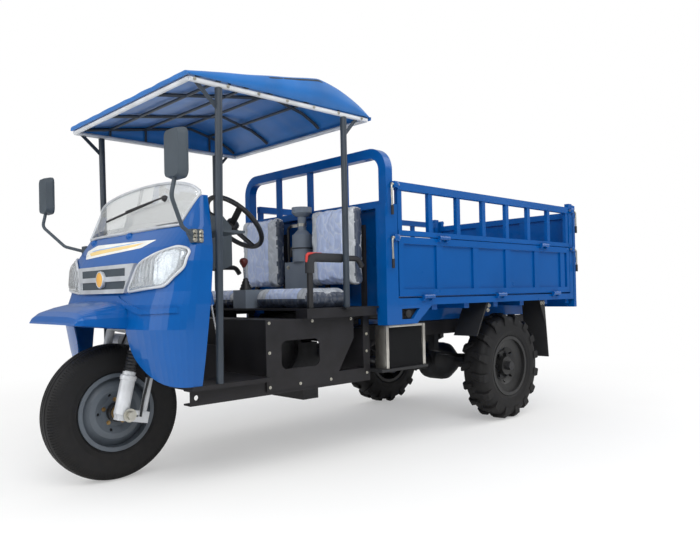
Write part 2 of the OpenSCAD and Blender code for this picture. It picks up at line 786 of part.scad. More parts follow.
module grille() {
    top = [318, 1040];
    low = [250, 905];
    slot_rows = [[925, 962], [985, 1022]];
    badge_r = 40;
    color(silver) place_front() {
        difference() {
            face_piece([[-low[0], low[1]], [low[0], low[1]], [top[0], top[1]], [-top[0], top[1]]], seat_gap, 18);
            for (row = slot_rows) front_plate([
                [-low[0] + 2, row[0]], [low[0] - 2, row[0]],
                [low[0] + 14, row[1]], [-low[0] - 14, row[1]]], [front_axle + 36, front_axle + 100]);
        }
        long_pin(0, (top[1] + low[1]) / 2, [front_axle + 36, front_axle + 52], badge_r);
    }
}

module headlamps() {
    // Columns: share of the half width, height
    corners = [
        [0.432, 908], [0.858, 930], [0.961, 1010], [0.965, 1090], [0.903, 1104], [0.71, 1072], [0.545, 1030]];
    outline = [for (c = corners) [c[0] * cab_half, c[1]]];
    color("white") place_front() both_sides() face_piece(outline, seat_gap, 22);
}

module windscreen() {
    color("lightcyan") place_front() face_piece(screen_outline(-seat_gap), -6, -1);
}

module dashboard() {
    color(slate) place_front() difference() {
        hull() {
            block([2010, 2060], [-290, 290], [1040, 1240]);
            block([2060, dash_front - seat_gap], [-290, 290], [1020, 1290]);
        }
        at_wheel() translate([0, 0, -700]) cylinder(r = 34, h = 700);
    }
}

module at_wheel() {
    translate(wheel_hub) rotate([0, -wheel_tilt, 0]) children();
}

// Fixed tube of the steering shaft with the gearbox at its foot
module steering_column() {
    shaft_r = 12;
    color(frame_black) place_front() {
        difference() {
            union() {
                at_wheel() translate([0, 0, -560]) cylinder(r = 24, h = 500);
                block([2150, 2260], [-65, -50 - seat_gap], [830, 960]);
                block([2150, 2250], [-65, 65], [915 + seat_gap, 990]);
            }
            at_wheel() translate([0, 0, -470]) cylinder(r = shaft_r + run_gap, h = 500);
        }
    }
}

module steering_wheel() {
    rim_r = steering_wheel_d / 2 - 14;
    color(frame_black) place_front() at_wheel() {
        rotate_extrude() translate([rim_r, 0]) circle(r = 14);
        for (a = [60, 180, 300]) rotate([0, 0, a])
            side_plate([[30, -36], [rim_r, -6], [rim_r, 6], [30, -22]], [-17, 17]);
        translate([0, 0, -52]) cylinder(r = 38, h = 44);
        translate([0, 0, -460]) cylinder(r = 12, h = 420);
    }
}

module mirrors() {
    clamp = [front_axle - 120, cab_half - 24, 1150];
    elbow = [front_axle + 62, cab_half + 115, 1295];
    head = [front_axle + 40, cab_half + 115, 1470];
    // Layers of the housing from the glass to the back. Columns: place, thickness, corner radius
    layers = [[-24, 12, 32], [6, 14, 24]];
    color(slate) place_front() both_sides() {
        difference() {
            block([clamp[0] - 40, clamp[0] + 14], [clamp[1] - 40, clamp[1] + 14], [clamp[2] - 30, clamp[2] + 30]);
            cab_body(1, 30, [clamp[2] - 40, clamp[2] + 40]);
        }
        tube(rounded([clamp, clamp + [90, 60, 30], elbow, head - [0, 0, 80]], 40), 9, facets = 10);
        translate(head) hull() for (layer = layers, dy = [-32, 32], dz = [-72, 72])
            translate([layer[0], dy, dz]) rotate([0, 90, 0]) cylinder(r = layer[2], h = layer[1], $fn = 24);
    }
}

// Canopy

canopy_peak_x = 1700;
canopy_front_z = canopy_rail_z + 32;

// Height of the cloth's outer face along the vehicle
function canopy_z(x) = x >= canopy_peak_x
    ? canopy_front_z + (canopy_crown_z - canopy_front_z) * (canopy_front - x) / (canopy_front - canopy_peak_x)
    : canopy_rail_z + (canopy_crown_z - canopy_rail_z)
        * pow(max(0, 1 - pow((canopy_peak_x - x) / (canopy_peak_x - canopy_rear), 1.5)), 1 / 1.5);

// Outline of the canopy from the side, drawn in by inset
function canopy_outline(inset, low) =
    let (steps = 14)
    concat(
        [[canopy_front - inset, low]],
        [for (i = [0 : 3]) let (x = canopy_front - (canopy_front - canopy_peak_x) * i / 4)
            [min(x, canopy_front - inset), canopy_z(x) - inset]],
        [for (i = [0 : steps]) let (a = 90 * i / steps,
            x = canopy_peak_x - (canopy_peak_x - canopy_rear) * sin(a))
            [max(x, canopy_rear + inset), canopy_z(x) - inset]],
        [[canopy_rear + inset, low]]);

module canopy_cover() {
    half = canopy_w / 2;
    low = canopy_rail_z - 8;
    color(tarp_blue) place_front() difference() {
        side_plate(canopy_outline(0, low), [-half, half]);
        side_plate(canopy_outline(canopy_t, low - 50), [-half + canopy_t, half - canopy_t]);
    }
}

// Edge rails: their tube and its distance from the cloth's outer face
canopy_tube_r = 12;
canopy_inset = canopy_t + canopy_tube_r + seat_gap;
canopy_rail_y = canopy_w / 2 - canopy_inset;
canopy_ends = [canopy_rear + canopy_inset, canopy_front - canopy_inset];
post_top_z = canopy_rail_z - canopy_tube_r - seat_gap;

module canopy_rails() {
    color(silver) place_front() {
        both_sides() rod(
            [canopy_ends[0], canopy_rail_y, canopy_rail_z], [canopy_ends[1], canopy_rail_y, canopy_rail_z],
            canopy_tube_r);
        for (x = canopy_ends)
            rod([x, -canopy_rail_y, canopy_rail_z], [x, canopy_rail_y, canopy_rail_z], canopy_tube_r - 1);
    }
}

// Bars under the cloth: two at the edges, two inner ones and four across, on stubs from the edge rails
module canopy_bars() {
    bars = [for (i = [1 : 4]) lerp(canopy_rear, canopy_front, i / 5)];
    run = concat(
        [for (share = [0.05, 0.16, 0.4]) lerp(canopy_ends[0], canopy_peak_x, share)],
        [canopy_peak_x, canopy_ends[1] - 34]);
    color(slate) place_front() {
        for (y = [-canopy_rail_y, -0.4 * canopy_rail_y, 0.4 * canopy_rail_y, canopy_rail_y])
            tube([for (x = run) [x, y, canopy_z(x) - canopy_inset]], 9, facets = 8);
        for (x = bars) {
            z = canopy_z(x) - canopy_inset;
            rod([x, -canopy_rail_y, z], [x, canopy_rail_y, z], 8);
            both_sides() rod(
                [x, canopy_rail_y, canopy_rail_z + canopy_tube_r + seat_gap], [x, canopy_rail_y, z], 7);
        }
    }
}

module canopy_post_front(r) {
    rod(post_front, [post_front[0], post_y, post_top_z], r);
}

// Posts with their flat braces
module canopy_posts() {
    color(slate) place_front() both_sides() {
        canopy_post_front(post_r);
        rod(post_rear, [post_rear[0], post_y, post_top_z], post_r);
        for (brace = [[post_front[0], 110], [post_rear[0], -90]])
            side_plate([
                [brace[0], post_top_z - 112], [brace[0], post_top_z - 84],
                [brace[0] + brace[1] * 0.85, post_top_z], [brace[0] + brace[1] * 1.1, post_top_z]],
                [post_y - 3, post_y + 3]);
    }
}

// Drive train and services

module radiator() {
    x = [905, 1245];
    rail = upper_rail_y[1];
    y = [rail + 170, rail + 255];
    z = [455, 700];
    color("dimgray") place_front() {
        block(x, [y[0] + 12, y[1] - 12], z);
        for (end = [[x[0], x[0] + 26], [x[1] - 26, x[1]]]) block(end, y, z);
        block(x, y, [z[1] - 14, z[1]]);
        block([x[0] - 10, riser_x[0] - seat_gap], [rail + seat_gap, y[1] + 10], [z[0] - 14, z[0] + 1]);
        for (px = [x[0] + 40, x[1] - 80])
            block([px, px + 50], [rail + seat_gap, rail + 8], [z[0] - 14, upper_rail_z[1]]);
    }
}

module fuel_tank() {
    rail = upper_rail_y[1];
    y = [-rail - 250, -rail - 50];
    color(frame_black) place_front() {
        block([890, 1240], y, [470, 690]);
        for (x = [950, 1140]) block([x, x + 40], [y[1] - 1, -rail - seat_gap], [610, 680]);
        translate([1065, y[1] - 50, 689]) cylinder(r = 30, h = 24);
    }
}

module exhaust() {
    muffler_r = 58;
    y = -rail_mid + spring_w / 2 + muffler_r + 20;
    hanger_x = [760, 1040];
    hanger_z = [540, upper_rail_z[0] - seat_gap];
    color(frame_black) place_front() {
        long_pin(y, 490, [700, 1100], muffler_r);
        tube(rounded([[1099, y, 490], [1220, y, 490], [1260, -200, 510], [1350 - seat_gap, -200, 510]], 40), 20,
            side = [0, 0, 1]);
        rod([701, y, 490], [560, y, 470], 20);
        for (x = hanger_x) {
            block([x, x + 30], [y - 15, y + 15], hanger_z);
            block([x, x + 30], [-upper_rail_y[1], y + 15], [hanger_z[1] - 12, hanger_z[1]]);
        }
    }
}

module drive_shaft() {
    front = [1130 - seat_gap + front_shift, 0, 480];
    rear = [250 + seat_gap, 0, 372];
    joint_len = 50;
    color(frame_black) place() {
        rod(front - [joint_len / 2, 0, 2], rear + [joint_len / 2, 0, 2], 26);
        long_pin(0, rear[2], [rear[0], rear[0] + joint_len], 48);
        long_pin(0, front[2], [front[0] - joint_len, front[0]], 48);
    }
}

module rear_axle() {
    tube_r = 38;
    face = rear_track / 2 - 62;
    color(frame_black) place() translate([0, 0, rear_tyre_r]) {
        rotate([90, 0, 0]) rotate_extrude() polygon([
            [0, -face], [tube_r, -face], [tube_r, -190], [78, -150], [132, -84], [138, -50],
            [138, 50], [132, 84], [78, 150], [tube_r, 190], [tube_r, face], [0, face]]);
        long_pin(0, 9, [60, 250], 58);
        both_sides() {
            cross_pin(0, 0, [face - 1, face + 150], axle_stub_r);
            cross_pin(0, 0, [face - 36, face - 8], 130);
        }
    }
}

// Leaf springs on the axle: each leaf is an arc round the same centre, the longest on top
module leaf_springs() {
    thick = 9;
    width = spring_w;
    bend_r = 1900;
    steps = 4;
    seat_z = rear_tyre_r + 38 + seat_gap;
    sweeps = [for (i = [0 : 3]) (210 + 100 * i) / bend_r * 180 / PI];
    under = [for (i = [0 : 3], k = [0 : steps])
        let (a = lerp(i == 0 ? 0 : sweeps[i - 1], sweeps[i], k / steps), r = bend_r - i * thick)
        [r * sin(a), seat_z + bend_r - r * cos(a)]];
    over = [for (k = [2 * steps : -1 : -2 * steps])
        let (a = sweeps[3] * k / (2 * steps), r = bend_r - 4 * thick)
        [r * sin(a), seat_z + bend_r - r * cos(a)]];
    left = [for (i = [len(under) - 1 : -1 : 1]) [-under[i][0], under[i][1]]];
    hanger_x = over[0][0] - 12;
    hanger_z = over[0][1] - thick;
    color(frame_black) place() both_sides() translate([0, rail_mid, 0]) {
        side_plate(concat(under, over, left), [-width / 2, width / 2]);
        // Clamp over the axle and hangers at both ends
        block([-60, 60], [-36, 36], [seat_z + 2 * thick, seat_z + 4 * thick + 20]);
        for (x = [-hanger_x, hanger_x])
            block([x - 22, x + 22], [-width / 2 + 3, width / 2 - 3], [hanger_z, upper_rail_z[0] - seat_gap]);
    }
}

// Lamps on the rear ends of the rails
module tail_lamps() {
    color("red") place() both_sides()
        block([rail_end_x - 26, rail_end_x - seat_gap], [upper_rail_y[0] - 80, upper_rail_y[1] - 4],
            [upper_rail_z[0] + 12, upper_rail_z[1] - 10]);
}

// Load bed

module bed_floor() {
    half = bed_half - gate_t - 2;
    color(blue) place() {
        block([bed_rear, bed_front], [-half, half], [bed_floor_z - 20, bed_floor_z]);
        for (i = [0 : 6]) let (x = bed_rear + 10 + i * beam_pitch) block([x, x + beam_w], [-half, half], beam_z);
        both_sides() {
            block([bed_rear, bed_front], [half - 8, bed_half], bed_rail_z);
            // Lugs and pins of the gate hinges
            for (x = gate_hinge_x) hinge_lugs(x, gate_axis_z);
        }
    }
}

// Long sills under the beams, and the ears of the tip hinge and of the lift cylinder
module bed_sills() {
    ear_y = [upper_rail_y[1] + 5, upper_rail_y[1] + 25];
    ear_top = bed_floor_z - 20 - seat_gap;
    color(blue) place() both_sides() {
        block([tip_hinge_x + 100, bed_front - 15], upper_rail_y, [upper_rail_z[1] + swing_gap, beam_z[0] - seat_gap]);
        difference() {
            block([tip_hinge_x - 40, tip_hinge_x + 80], ear_y, [tip_hinge_z - 40, ear_top]);
            cross_pin(tip_hinge_x, tip_hinge_z, [ear_y[0] - 5, ear_y[1] + 5], hinge_shaft_r + run_gap);
        }
        // Ears over the lift cylinder's eye, with the heads of its pin
        block([lift_eye[0] - 36, lift_eye[0] + 36], [32, 44], [lift_eye[2] - 30, ear_top]);
        cross_pin(lift_eye[0], lift_eye[2], [43, 52], lift_pin_r);
    }
}

// Plates under the front corners of the bed, each with a window
module bed_gussets() {
    x = bed_front - seat_gap;
    z = [gusset_z, bed_rail_z[0] - seat_gap];
    window = [[x - 180, 790], [x - 25, 790], [x - 25, 730], [x - 120, 730]];
    color(blue) place() both_sides() difference() {
        side_plate([[x - 295, z[1]], [x, z[1]], [x, z[0]], [x - 155, z[0]]], [bed_half - 20, bed_half]);
        side_plate(window, [bed_half - 30, bed_half + 10]);
    }
}

module headboard() {
    post_x = [bed_front, bed_front + 97];
    arch_x = bed_front + 62;
    tube_r = arch_tube_d / 2;
    tube_x = [arch_x - tube_r, arch_x + tube_r];
    arch_y = bed_half - tube_r;
    bend = 100;
    rail_z = 1380;
    top = headboard_top_z - tube_r;
    color(blue) place() {
        block([bed_front, bed_front + 22], [-bed_half + 40, bed_half - 40], [bed_floor_z - 60, rail_z]);
        both_sides() {
            block(post_x, [bed_half - 75, bed_half], [gusset_z, rail_z]);
            // Square tube of the arch
            block(tube_x, [arch_y - tube_r, arch_y + tube_r], [rail_z - 10, top - bend]);
            translate([arch_x, arch_y - bend, top - bend]) rotate([90, 0, 90])
                rotate_extrude(angle = 90) translate([bend - tube_r, -tube_r]) square(arch_tube_d);
        }
        block(tube_x, [-arch_y + bend, arch_y - bend], [top - tube_r, top + tube_r]);
        block([arch_x - 20, arch_x + 20], [-arch_y, arch_y], [rail_z - 20, rail_z + 20]);
        for (y = [-320, 0, 320]) block([arch_x - 14, arch_x + 14], [y - 16, y + 16], [rail_z, top]);
        block([bed_front + 20, arch_x], [-bed_half + 40, bed_half - 40], [rail_z - 20, rail_z]);
    }
}

module rear_posts() {
    axis = tailgate_axis;
    color(blue) place() both_sides() {
        block([bed_rear, bed_rear + rear_post_w], [bed_half - gate_t, bed_half], [bed_rail_z[1], 1540]);
        side_plate([
            [bed_rear + 1, axis[1] - 26], [axis[0] - 16, axis[1] - 14], [axis[0] - 16, axis[1] + 16],
            [bed_rear + 1, axis[1] + 22]], [bed_half - 14, bed_half]);
        cross_pin(axis[0], axis[1], [bed_half - 60, bed_half], 10);
    }
}

// Flaps before and behind the rear wheels, hung from the bed's rails
module mudguards() {
    y = [max(bed_half - 205, upper_rail_y[1] + 40), bed_half - 20];
    hang_z = bed_rail_z[0] - seat_gap;
    color(frame_black) place() both_sides() {
        side_plate([[-447, hang_z], [-437, hang_z], [-485, 387], [-495, 387]], y);
        side_plate([[270, hang_z], [282, hang_z], [404, 590], [394, 590]], y);
        side_plate([[-447, hang_z], [-373, hang_z], [-452, 640]], [y[1] - 4, y[1]]);
        side_plate([[250, hang_z], [282, hang_z], [352, 680]], [y[1] - 4, y[1]]);
    }
}

// Fixed half of a side hinge: two lugs on the lower piece with a pin between them
module hinge_lugs(x, z) {
    for (end = [-48, 28]) {
        block([x + end, x + end + 20], [bed_half - 1, gate_axis_y], [z - 24, z - 7]);
        long_pin(gate_axis_y, z, [x + end, x + end + 20], hinge_r);
    }
    long_pin(gate_axis_y, z, [x - 48, x + 48], hinge_pin_r);
}

// Turning half of a side hinge: a bored knuckle on a strap of the upper piece
module hinge_knuckle(x, z) {
    difference() {
        union() {
            long_pin(gate_axis_y, z, [x - 26, x + 26], hinge_r);
            block([x - 26, x + 26], [bed_half - 2, gate_axis_y], [z + 4.5, z + hinge_r]);
        }
        long_pin(gate_axis_y, z, [x - 30, x + 30], hinge_pin_r + run_gap);
    }
}

// Gate of the left side: a frame with a pressed sheet, ribs and hinge knuckles
module gate_panel() {
    z = [gate_axis_z + 4, gate_top_z];
    y = [bed_half - gate_t, bed_half];
    rail = 40;
    rib_pitch = 370;
    rib_w = 60;
    sheet_y = [y[0] + 12, y[0] + 20];
    for (band = [[z[0], z[0] + rail], [z[1] - rail, z[1]]]) block([gate_rear, gate_front], y, band);
    for (end = [[gate_rear, gate_rear + rail], [gate_front - rail, gate_front]]) block(end, y, z);
    block([gate_rear, gate_front], sheet_y, z);
    for (x = [gate_front - rib_pitch : -rib_pitch : gate_rear + rib_w])
        side_plate([
            [x - rib_w / 2, z[0] + rail - 1], [x + rib_w / 2, z[0] + rail - 1],
            [x + rib_w / 2, z[1] - rail + 1], [x - rib_w / 2, z[1] - rail + 1]], [sheet_y[1] - 1, y[1] - 4]);
    for (x = gate_hinge_x) hinge_knuckle(x, gate_axis_z);
    for (x = fence_hinge_x) hinge_lugs(x, fence_axis_z);
}

// Fence above the left gate: two rails, uprights and hinge knuckles
module fence_frame() {
    z = [gate_top_z + swing_gap, fence_top_z];
    y = [bed_half - gate_t, bed_half];
    low_rail = 30;
    top_rail = 45;
    post = 36;
    span = gate_front - gate_rear - post;
    block([gate_rear, gate_front], y, [z[0], z[0] + low_rail]);
    block([gate_rear, gate_front], y, [z[1] - top_rail, z[1]]);
    for (i = [0 : fence_bays]) let (x = gate_rear + i * span / fence_bays)
        block([x, x + post], [y[0] + 5, y[1] - 5], [z[0] + 1, z[1] - 1]);
    for (x = fence_hinge_x) hinge_knuckle(x, fence_axis_z);
}

module gate_left() color(blue) place() gate_panel();
module gate_right() color(blue) place() mirror([0, 1, 0]) gate_panel();
module fence_left() color(blue) place() fence_frame();
module fence_right() color(blue) place() mirror([0, 1, 0]) fence_frame();

module tailgate() {
    x = [tailgate_back, bed_rear - 12];
    half = bed_half - 2;
    z = [745, tailgate_axis[1] - 32];
    ear_y = [bed_half - 60, bed_half - 20];
    rail = 45;
    color(blue) place() {
        block([x[0] + 14, x[0] + 22], [-half, half], z);
        for (band = [[z[0], z[0] + rail], [z[1] - rail, z[1]], [1090, 1135]]) block(x, [-half, half], band);
        for (y = [-half, -240, 200, half - rail]) block([x[0] + 2, x[1] - 2], [y, y + rail], z);
        both_sides() difference() {
            union() {
                block([x[0] + 8, x[1]], ear_y, [z[1] - 1, tailgate_axis[1]]);
                cross_pin(tailgate_axis[0], tailgate_axis[1], ear_y, 18);
            }
            cross_pin(tailgate_axis[0], tailgate_axis[1], [ear_y[0] - 1, ear_y[1] + 1], 10 + run_gap);
        }
    }
}

// Lift cylinder

module at_lift() {
    translate(lift_base) rotate([0, -lift_tilt, 0]) children();
}

module lift_barrel() {
    color(frame_black) place() at_lift() difference() {
        union() {
            translate([0, 0, 20]) cylinder(r = 38, h = lift_head - 20);
            cross_pin(0, 0, [-40, 40], 34);
            translate([0, 0, lift_head - 24]) cylinder(r = 44, h = 24);
        }
        cross_pin(0, 0, [-41, 41], lift_pin_r + run_gap);
        translate([0, 0, 80]) cylinder(r = lift_rod_r + run_gap, h = lift_len);
    }
}

module lift_rod() {
    color(silver) place() at_lift() {
        translate([0, 0, 100]) cylinder(r = lift_rod_r, h = lift_len - 100 - 20);
        cross_pin(0, lift_len, [-22, 22], 36);
        cross_pin(0, lift_len, [-27, 27], lift_pin_r);
    }
}

chassis_frame();
lower_frame();
frame_cross();
steering_neck();
footboard();
side_plates();
engine();
centre_cover();
seat_frame();
seat_cushion_left();
seat_cushion_right();
seat_back_left();
seat_back_right();
armrests();
gear_lever();
pedals();
hand_brake();
air_cleaner();
cab_shell();
cowl();
grille();
headlamps();
windscreen();
dashboard();
steering_column();
mirrors();
canopy_posts();
canopy_rails();
canopy_bars();
canopy_cover();
radiator();
fuel_tank();
exhaust();
drive_shaft();
rear_axle();
leaf_springs();
tail_lamps();
fork_yoke();
fork_legs();
front_tyre();
front_rim();
rear_tyre_left();
rear_rim_left();
rear_tyre_right();
rear_rim_right();
steering_wheel();
bed_floor();
bed_sills();
bed_gussets();
headboard();
rear_posts();
mudguards();
gate_left();
gate_right();
fence_left();
fence_right();
tailgate();
lift_barrel();
lift_rod();
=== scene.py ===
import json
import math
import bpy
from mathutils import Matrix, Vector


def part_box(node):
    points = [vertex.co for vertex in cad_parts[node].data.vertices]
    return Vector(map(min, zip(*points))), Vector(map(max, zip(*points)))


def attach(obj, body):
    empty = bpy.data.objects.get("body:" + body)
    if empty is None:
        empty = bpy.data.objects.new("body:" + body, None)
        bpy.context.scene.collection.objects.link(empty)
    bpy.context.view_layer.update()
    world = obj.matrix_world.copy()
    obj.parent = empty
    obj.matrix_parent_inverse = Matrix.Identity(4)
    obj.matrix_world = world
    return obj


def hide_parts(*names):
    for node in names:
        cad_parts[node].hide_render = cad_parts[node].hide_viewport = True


bl_info = {
    "name": "Dump Tricycle Dressing",
    "version": (1, 0, 0),
    "blender": (4, 5, 0),
    "location": "View3D > Sidebar > Tricycle",
    "description": "Finishes, soft goods and fittings on the packed model of a dump tricycle",
    "category": "Object",
}

import bmesh
import bpy
from mathutils import Matrix, Vector, noise
from mathutils.bvhtree import BVHTree

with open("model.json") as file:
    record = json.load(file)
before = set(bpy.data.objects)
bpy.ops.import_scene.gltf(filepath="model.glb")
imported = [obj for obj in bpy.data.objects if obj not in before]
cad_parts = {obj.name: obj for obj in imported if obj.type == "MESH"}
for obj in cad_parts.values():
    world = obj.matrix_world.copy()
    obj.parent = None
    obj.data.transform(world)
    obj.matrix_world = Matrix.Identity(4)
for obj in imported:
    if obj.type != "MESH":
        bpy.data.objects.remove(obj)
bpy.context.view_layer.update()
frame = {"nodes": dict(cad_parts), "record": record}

# Places of the drawing in mm: along from the rear axle, across from the middle, up from the ground
MID_X = 980.0
FRONT_AXLE = (2530, 0, 330)
REAR_AXLE_Z, HALF_TRACK = 363, 565
FORK_FOOT_X, FORK_LEG_Y, FORK_RAKE = 2495, 150, 13
ARMREST_X, ARMREST_Y, ARMREST_Z = 1745, 591.7, 1072
CLEANER = (1310, 10, 1085)
SIDES = (("left", 1), ("right", -1))
FINISHES = {}


def at(x, y, z):
    """A place of the drawing, in mm from the rear axle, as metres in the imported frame."""
    return Vector((x - MID_X, y, z)) / 1000


def linear(code):
    """An sRGB hex colour as linear red, green and blue."""
    parts = [int(code[i:i + 2], 16) / 255 for i in (1, 3, 5)]
    return tuple(c / 12.92 if c <= 0.04045 else ((c + 0.055) / 1.055) ** 2.4 for c in parts)


def colour(label, code, note):
    """A colour setting of the panel, from a hex code."""
    return bpy.props.FloatVectorProperty(
        name=label, description=note, subtype="COLOR", size=3, min=0, max=1, default=linear(code))


def length(label, metres, note):
    """A length setting of the panel, in metres."""
    return bpy.props.FloatProperty(name=label, description=note, default=metres, min=0, unit="LENGTH")


class TricycleColours(bpy.types.PropertyGroup):
    blue: colour("Body blue", "#00539D", "Enamel of the fairing and the load bed")
    cloth: colour("Canopy blue", "#0A68B4", "Tarpaulin of the canopy")
    chassis: colour("Chassis black", "#1B1B1F", "Paint of the frame and the engine bay")
    slate: colour("Slate", "#2C3641", "Paint of the canopy's posts")
    rim: colour("Front wheel grey", "#535B64", "Paint of the front wheel")
    silver: colour("Fork silver", "#D6D9DD", "Paint of the fork")
    rubber: colour("Tyre", "#0E0F12", "Rubber of the tyres")
    seat_light: colour("Seat middle", "#BCCBEC", "Pale panels of the seats")
    seat_grey: colour("Seat bolster", "#B4B9BF", "Bolsters of the seats")
    seat_dark: colour("Seat side", "#3A4456", "Sides of the seats")
    plastic: colour("Dark plastic", "#3B454E", "Moulded covers, mirrors and dashboard")
    floor: colour("Floor", "#FAFAF9", "Studio floor")


class TricycleSizes(bpy.types.PropertyGroup):
    crinkle: length("Film crinkle", 0.0034, "Height of the creases in the seats' clear film")
    cloth_sag: length("Canopy sag", 0.009, "Sag of the canopy between its bars")
    cloth_thick: length("Canopy cloth", 0.0016, "Thickness of the canopy's cloth")
    groove: length("Tread groove", 0.006, "Depth of the front tyre's grooves")
    bolt: length("Bolt head", 0.014, "Width across the flats of a common bolt")
    fin_pitch: length("Fin pitch", 0.0075, "Distance between the radiator's drawn fins")


# Mesh building


def cross_axes(path, i, normal):
    """Two directions across a path at one of its points, turned as little as possible from the last."""
    tangent = (path[min(i + 1, len(path) - 1)] - path[max(i - 1, 0)]).normalized()
    base = tangent.orthogonal() if normal is None else normal - tangent * normal.dot(tangent)
    base = base.normalized()
    return base, tangent.cross(base)


def sweep(bm, path, radius, sides=10):
    """Adds a closed round bar along a path. radius is one value, or one for each point."""
    rings, normal = [], None
    angles = [math.tau * k / sides for k in range(sides)]
    for i, point in enumerate(path):
        normal, side = cross_axes(path, i, normal)
        r = radius[i] if hasattr(radius, "__len__") else radius
        rings.append([bm.verts.new(point + r * (math.cos(a) * normal + math.sin(a) * side)) for a in angles])
    capped(bm, rings)


def skin(bm, rings, closed):
    """Joins rings of vertices by quads."""
    count = len(rings[0])
    for a, b in zip(rings, rings[1:]):
        for i in range(count if closed else count - 1):
            j = (i + 1) % count
            bm.faces.new((a[i], a[j], b[j], b[i]))


def capped(bm, rings):
    """Joins closed rings by quads and shuts both ends."""
    skin(bm, rings, True)
    bm.faces.new(list(reversed(rings[0])))
    bm.faces.new(rings[-1])


def bend(points, radius, steps=5):
    """A path with its inner corners rounded."""
    out = [points[0]]
    for a, b, c in zip(points, points[1:], points[2:]):
        cut = min(radius, (a - b).length * 0.48, (c - b).length * 0.48)
        start, end = b + (a - b).normalized() * cut, b + (c - b).normalized() * cut
        for k in range(steps + 1):
            t = k / steps
            out.append((1 - t) ** 2 * start + 2 * t * (1 - t) * b + t * t * end)
    return out + [points[-1]]


def slab(bm, low, high, bevel=0.0):
    """Adds a block between two corners, with its edges rounded where a bevel is given."""
    place = Matrix.Translation((low + high) / 2) @ Matrix.Diagonal((*(high - low), 1))
    verts = bmesh.ops.create_cube(bm, size=1, matrix=place)["verts"]
    if bevel:
        edges = list({e for v in verts for e in v.link_edges})
        bmesh.ops.bevel(bm, geom=edges, offset=bevel, segments=2, affect="EDGES", profile=0.5)


def lathe(bm, profile, centre, steps=96, axis="Y", closed=True):
    """Adds a shape turned round an axis through a point.

    profile holds radius and offset, and closed joins its last point to its first."""
    order = {"X": (2, 0, 1), "Y": (0, 2, 1), "Z": (0, 1, 2)}[axis]
    rings = []
    for k in range(steps):
        a = math.tau * k / steps
        places = [(r * math.cos(a), r * math.sin(a), offset) for r, offset in profile]
        rings.append([bm.verts.new(centre + Vector([place[i] for i in order])) for place in places])
    skin(bm, rings + [rings[0]], closed)


def finished(name, bm, finish, body, angle=35, merge=True):
    """Turns a mesh in the making into a piece that rides on a body."""
    if merge:
        bmesh.ops.remove_doubles(bm, verts=bm.verts, dist=1e-6)
        bmesh.ops.recalc_face_normals(bm, faces=bm.faces)
    mesh = bpy.data.meshes.new(name)
    bm.to_mesh(mesh)
    bm.free()
    return placed(name, mesh, finish, body, angle)


def placed(name, mesh, finish, body, angle=35):
    """Gives a mesh its finish and its body, and puts it in the scene."""
    mesh.materials.clear()
    mesh.materials.append(FINISHES[finish])
    mesh.shade_smooth()
    mesh.set_sharp_from_angle(angle=math.radians(angle))
    piece = bpy.data.objects.new(name, mesh)
    bpy.context.scene.collection.objects.link(piece)
    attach(piece, body)
    return piece


# Geometry Nodes


def add(tree, kind, settings=None, links=None, into=None, **options):
    """Adds a node with its options, input values and links. into is the socket that it feeds."""
    node = tree.nodes.new(kind)
    for key, value in options.items():
        setattr(node, key, value)
    for key, value in (settings or {}).items():
        node.inputs[key].default_value = value
    for key, socket in (links or {}).items():
        tree.links.new(socket, node.inputs[key])
    if into:
        tree.links.new(node.outputs[0], into)
    return node


def new_tree(name, inputs):
    """An empty geometry tree with named inputs after its geometry."""
    tree = bpy.data.node_groups.new(name, "GeometryNodeTree")
    tree.interface.new_socket("Geometry", in_out="INPUT", socket_type="NodeSocketGeometry")
    for label, kind in inputs:
        tree.interface.new_socket(label, in_out="INPUT", socket_type="NodeSocket" + kind)
    tree.interface.new_socket("Geometry", in_out="OUTPUT", socket_type="NodeSocketGeometry")
    return tree, add(tree, "NodeGroupInput").outputs


def close_tree(tree, geometry, material):
    """Ends a tree: copies made real and painted."""
    real = add(tree, "GeometryNodeRealizeInstances", links={"Geometry": geometry})
    paint = add(tree, "GeometryNodeSetMaterial", links={"Geometry": real.outputs[0], "Material": material})
    add(tree, "NodeGroupOutput", links={"Geometry": paint.outputs[0]})
    return tree


def wheel_ring_tree():
    """Copies of one object set evenly round the Y axis through a hub."""
    tree, given = new_tree("Ring of pieces", [
        ("Piece", "Object"), ("Count", "Int"), ("Start", "Float"), ("Hub", "Vector"),
        ("Material", "Material")])
    points = add(tree, "GeometryNodeMeshLine", {"Offset": (0, 0, 0)}, {"Count": given["Count"]})
    step = add(tree, "ShaderNodeMath", {0: math.tau}, {1: given["Count"]}, operation="DIVIDE")
    index = add(tree, "GeometryNodeInputIndex")
    angle = add(tree, "ShaderNodeMath", links={0: index.outputs[0], 1: step.outputs[0], 2: given["Start"]},
                operation="MULTIPLY_ADD")
    turn = add(tree, "ShaderNodeCombineXYZ", links={"Y": angle.outputs[0]})
    info = add(tree, "GeometryNodeObjectInfo", links={"Object": given["Piece"]})
    copies = add(tree, "GeometryNodeInstanceOnPoints", links={
        "Points": points.outputs[0], "Instance": info.outputs["Geometry"], "Rotation": turn.outputs[0]})
    moved = add(tree, "GeometryNodeTransform", links={
        "Geometry": copies.outputs[0], "Translation": given["Hub"]})
    return close_tree(tree, moved.outputs[0], given["Material"])


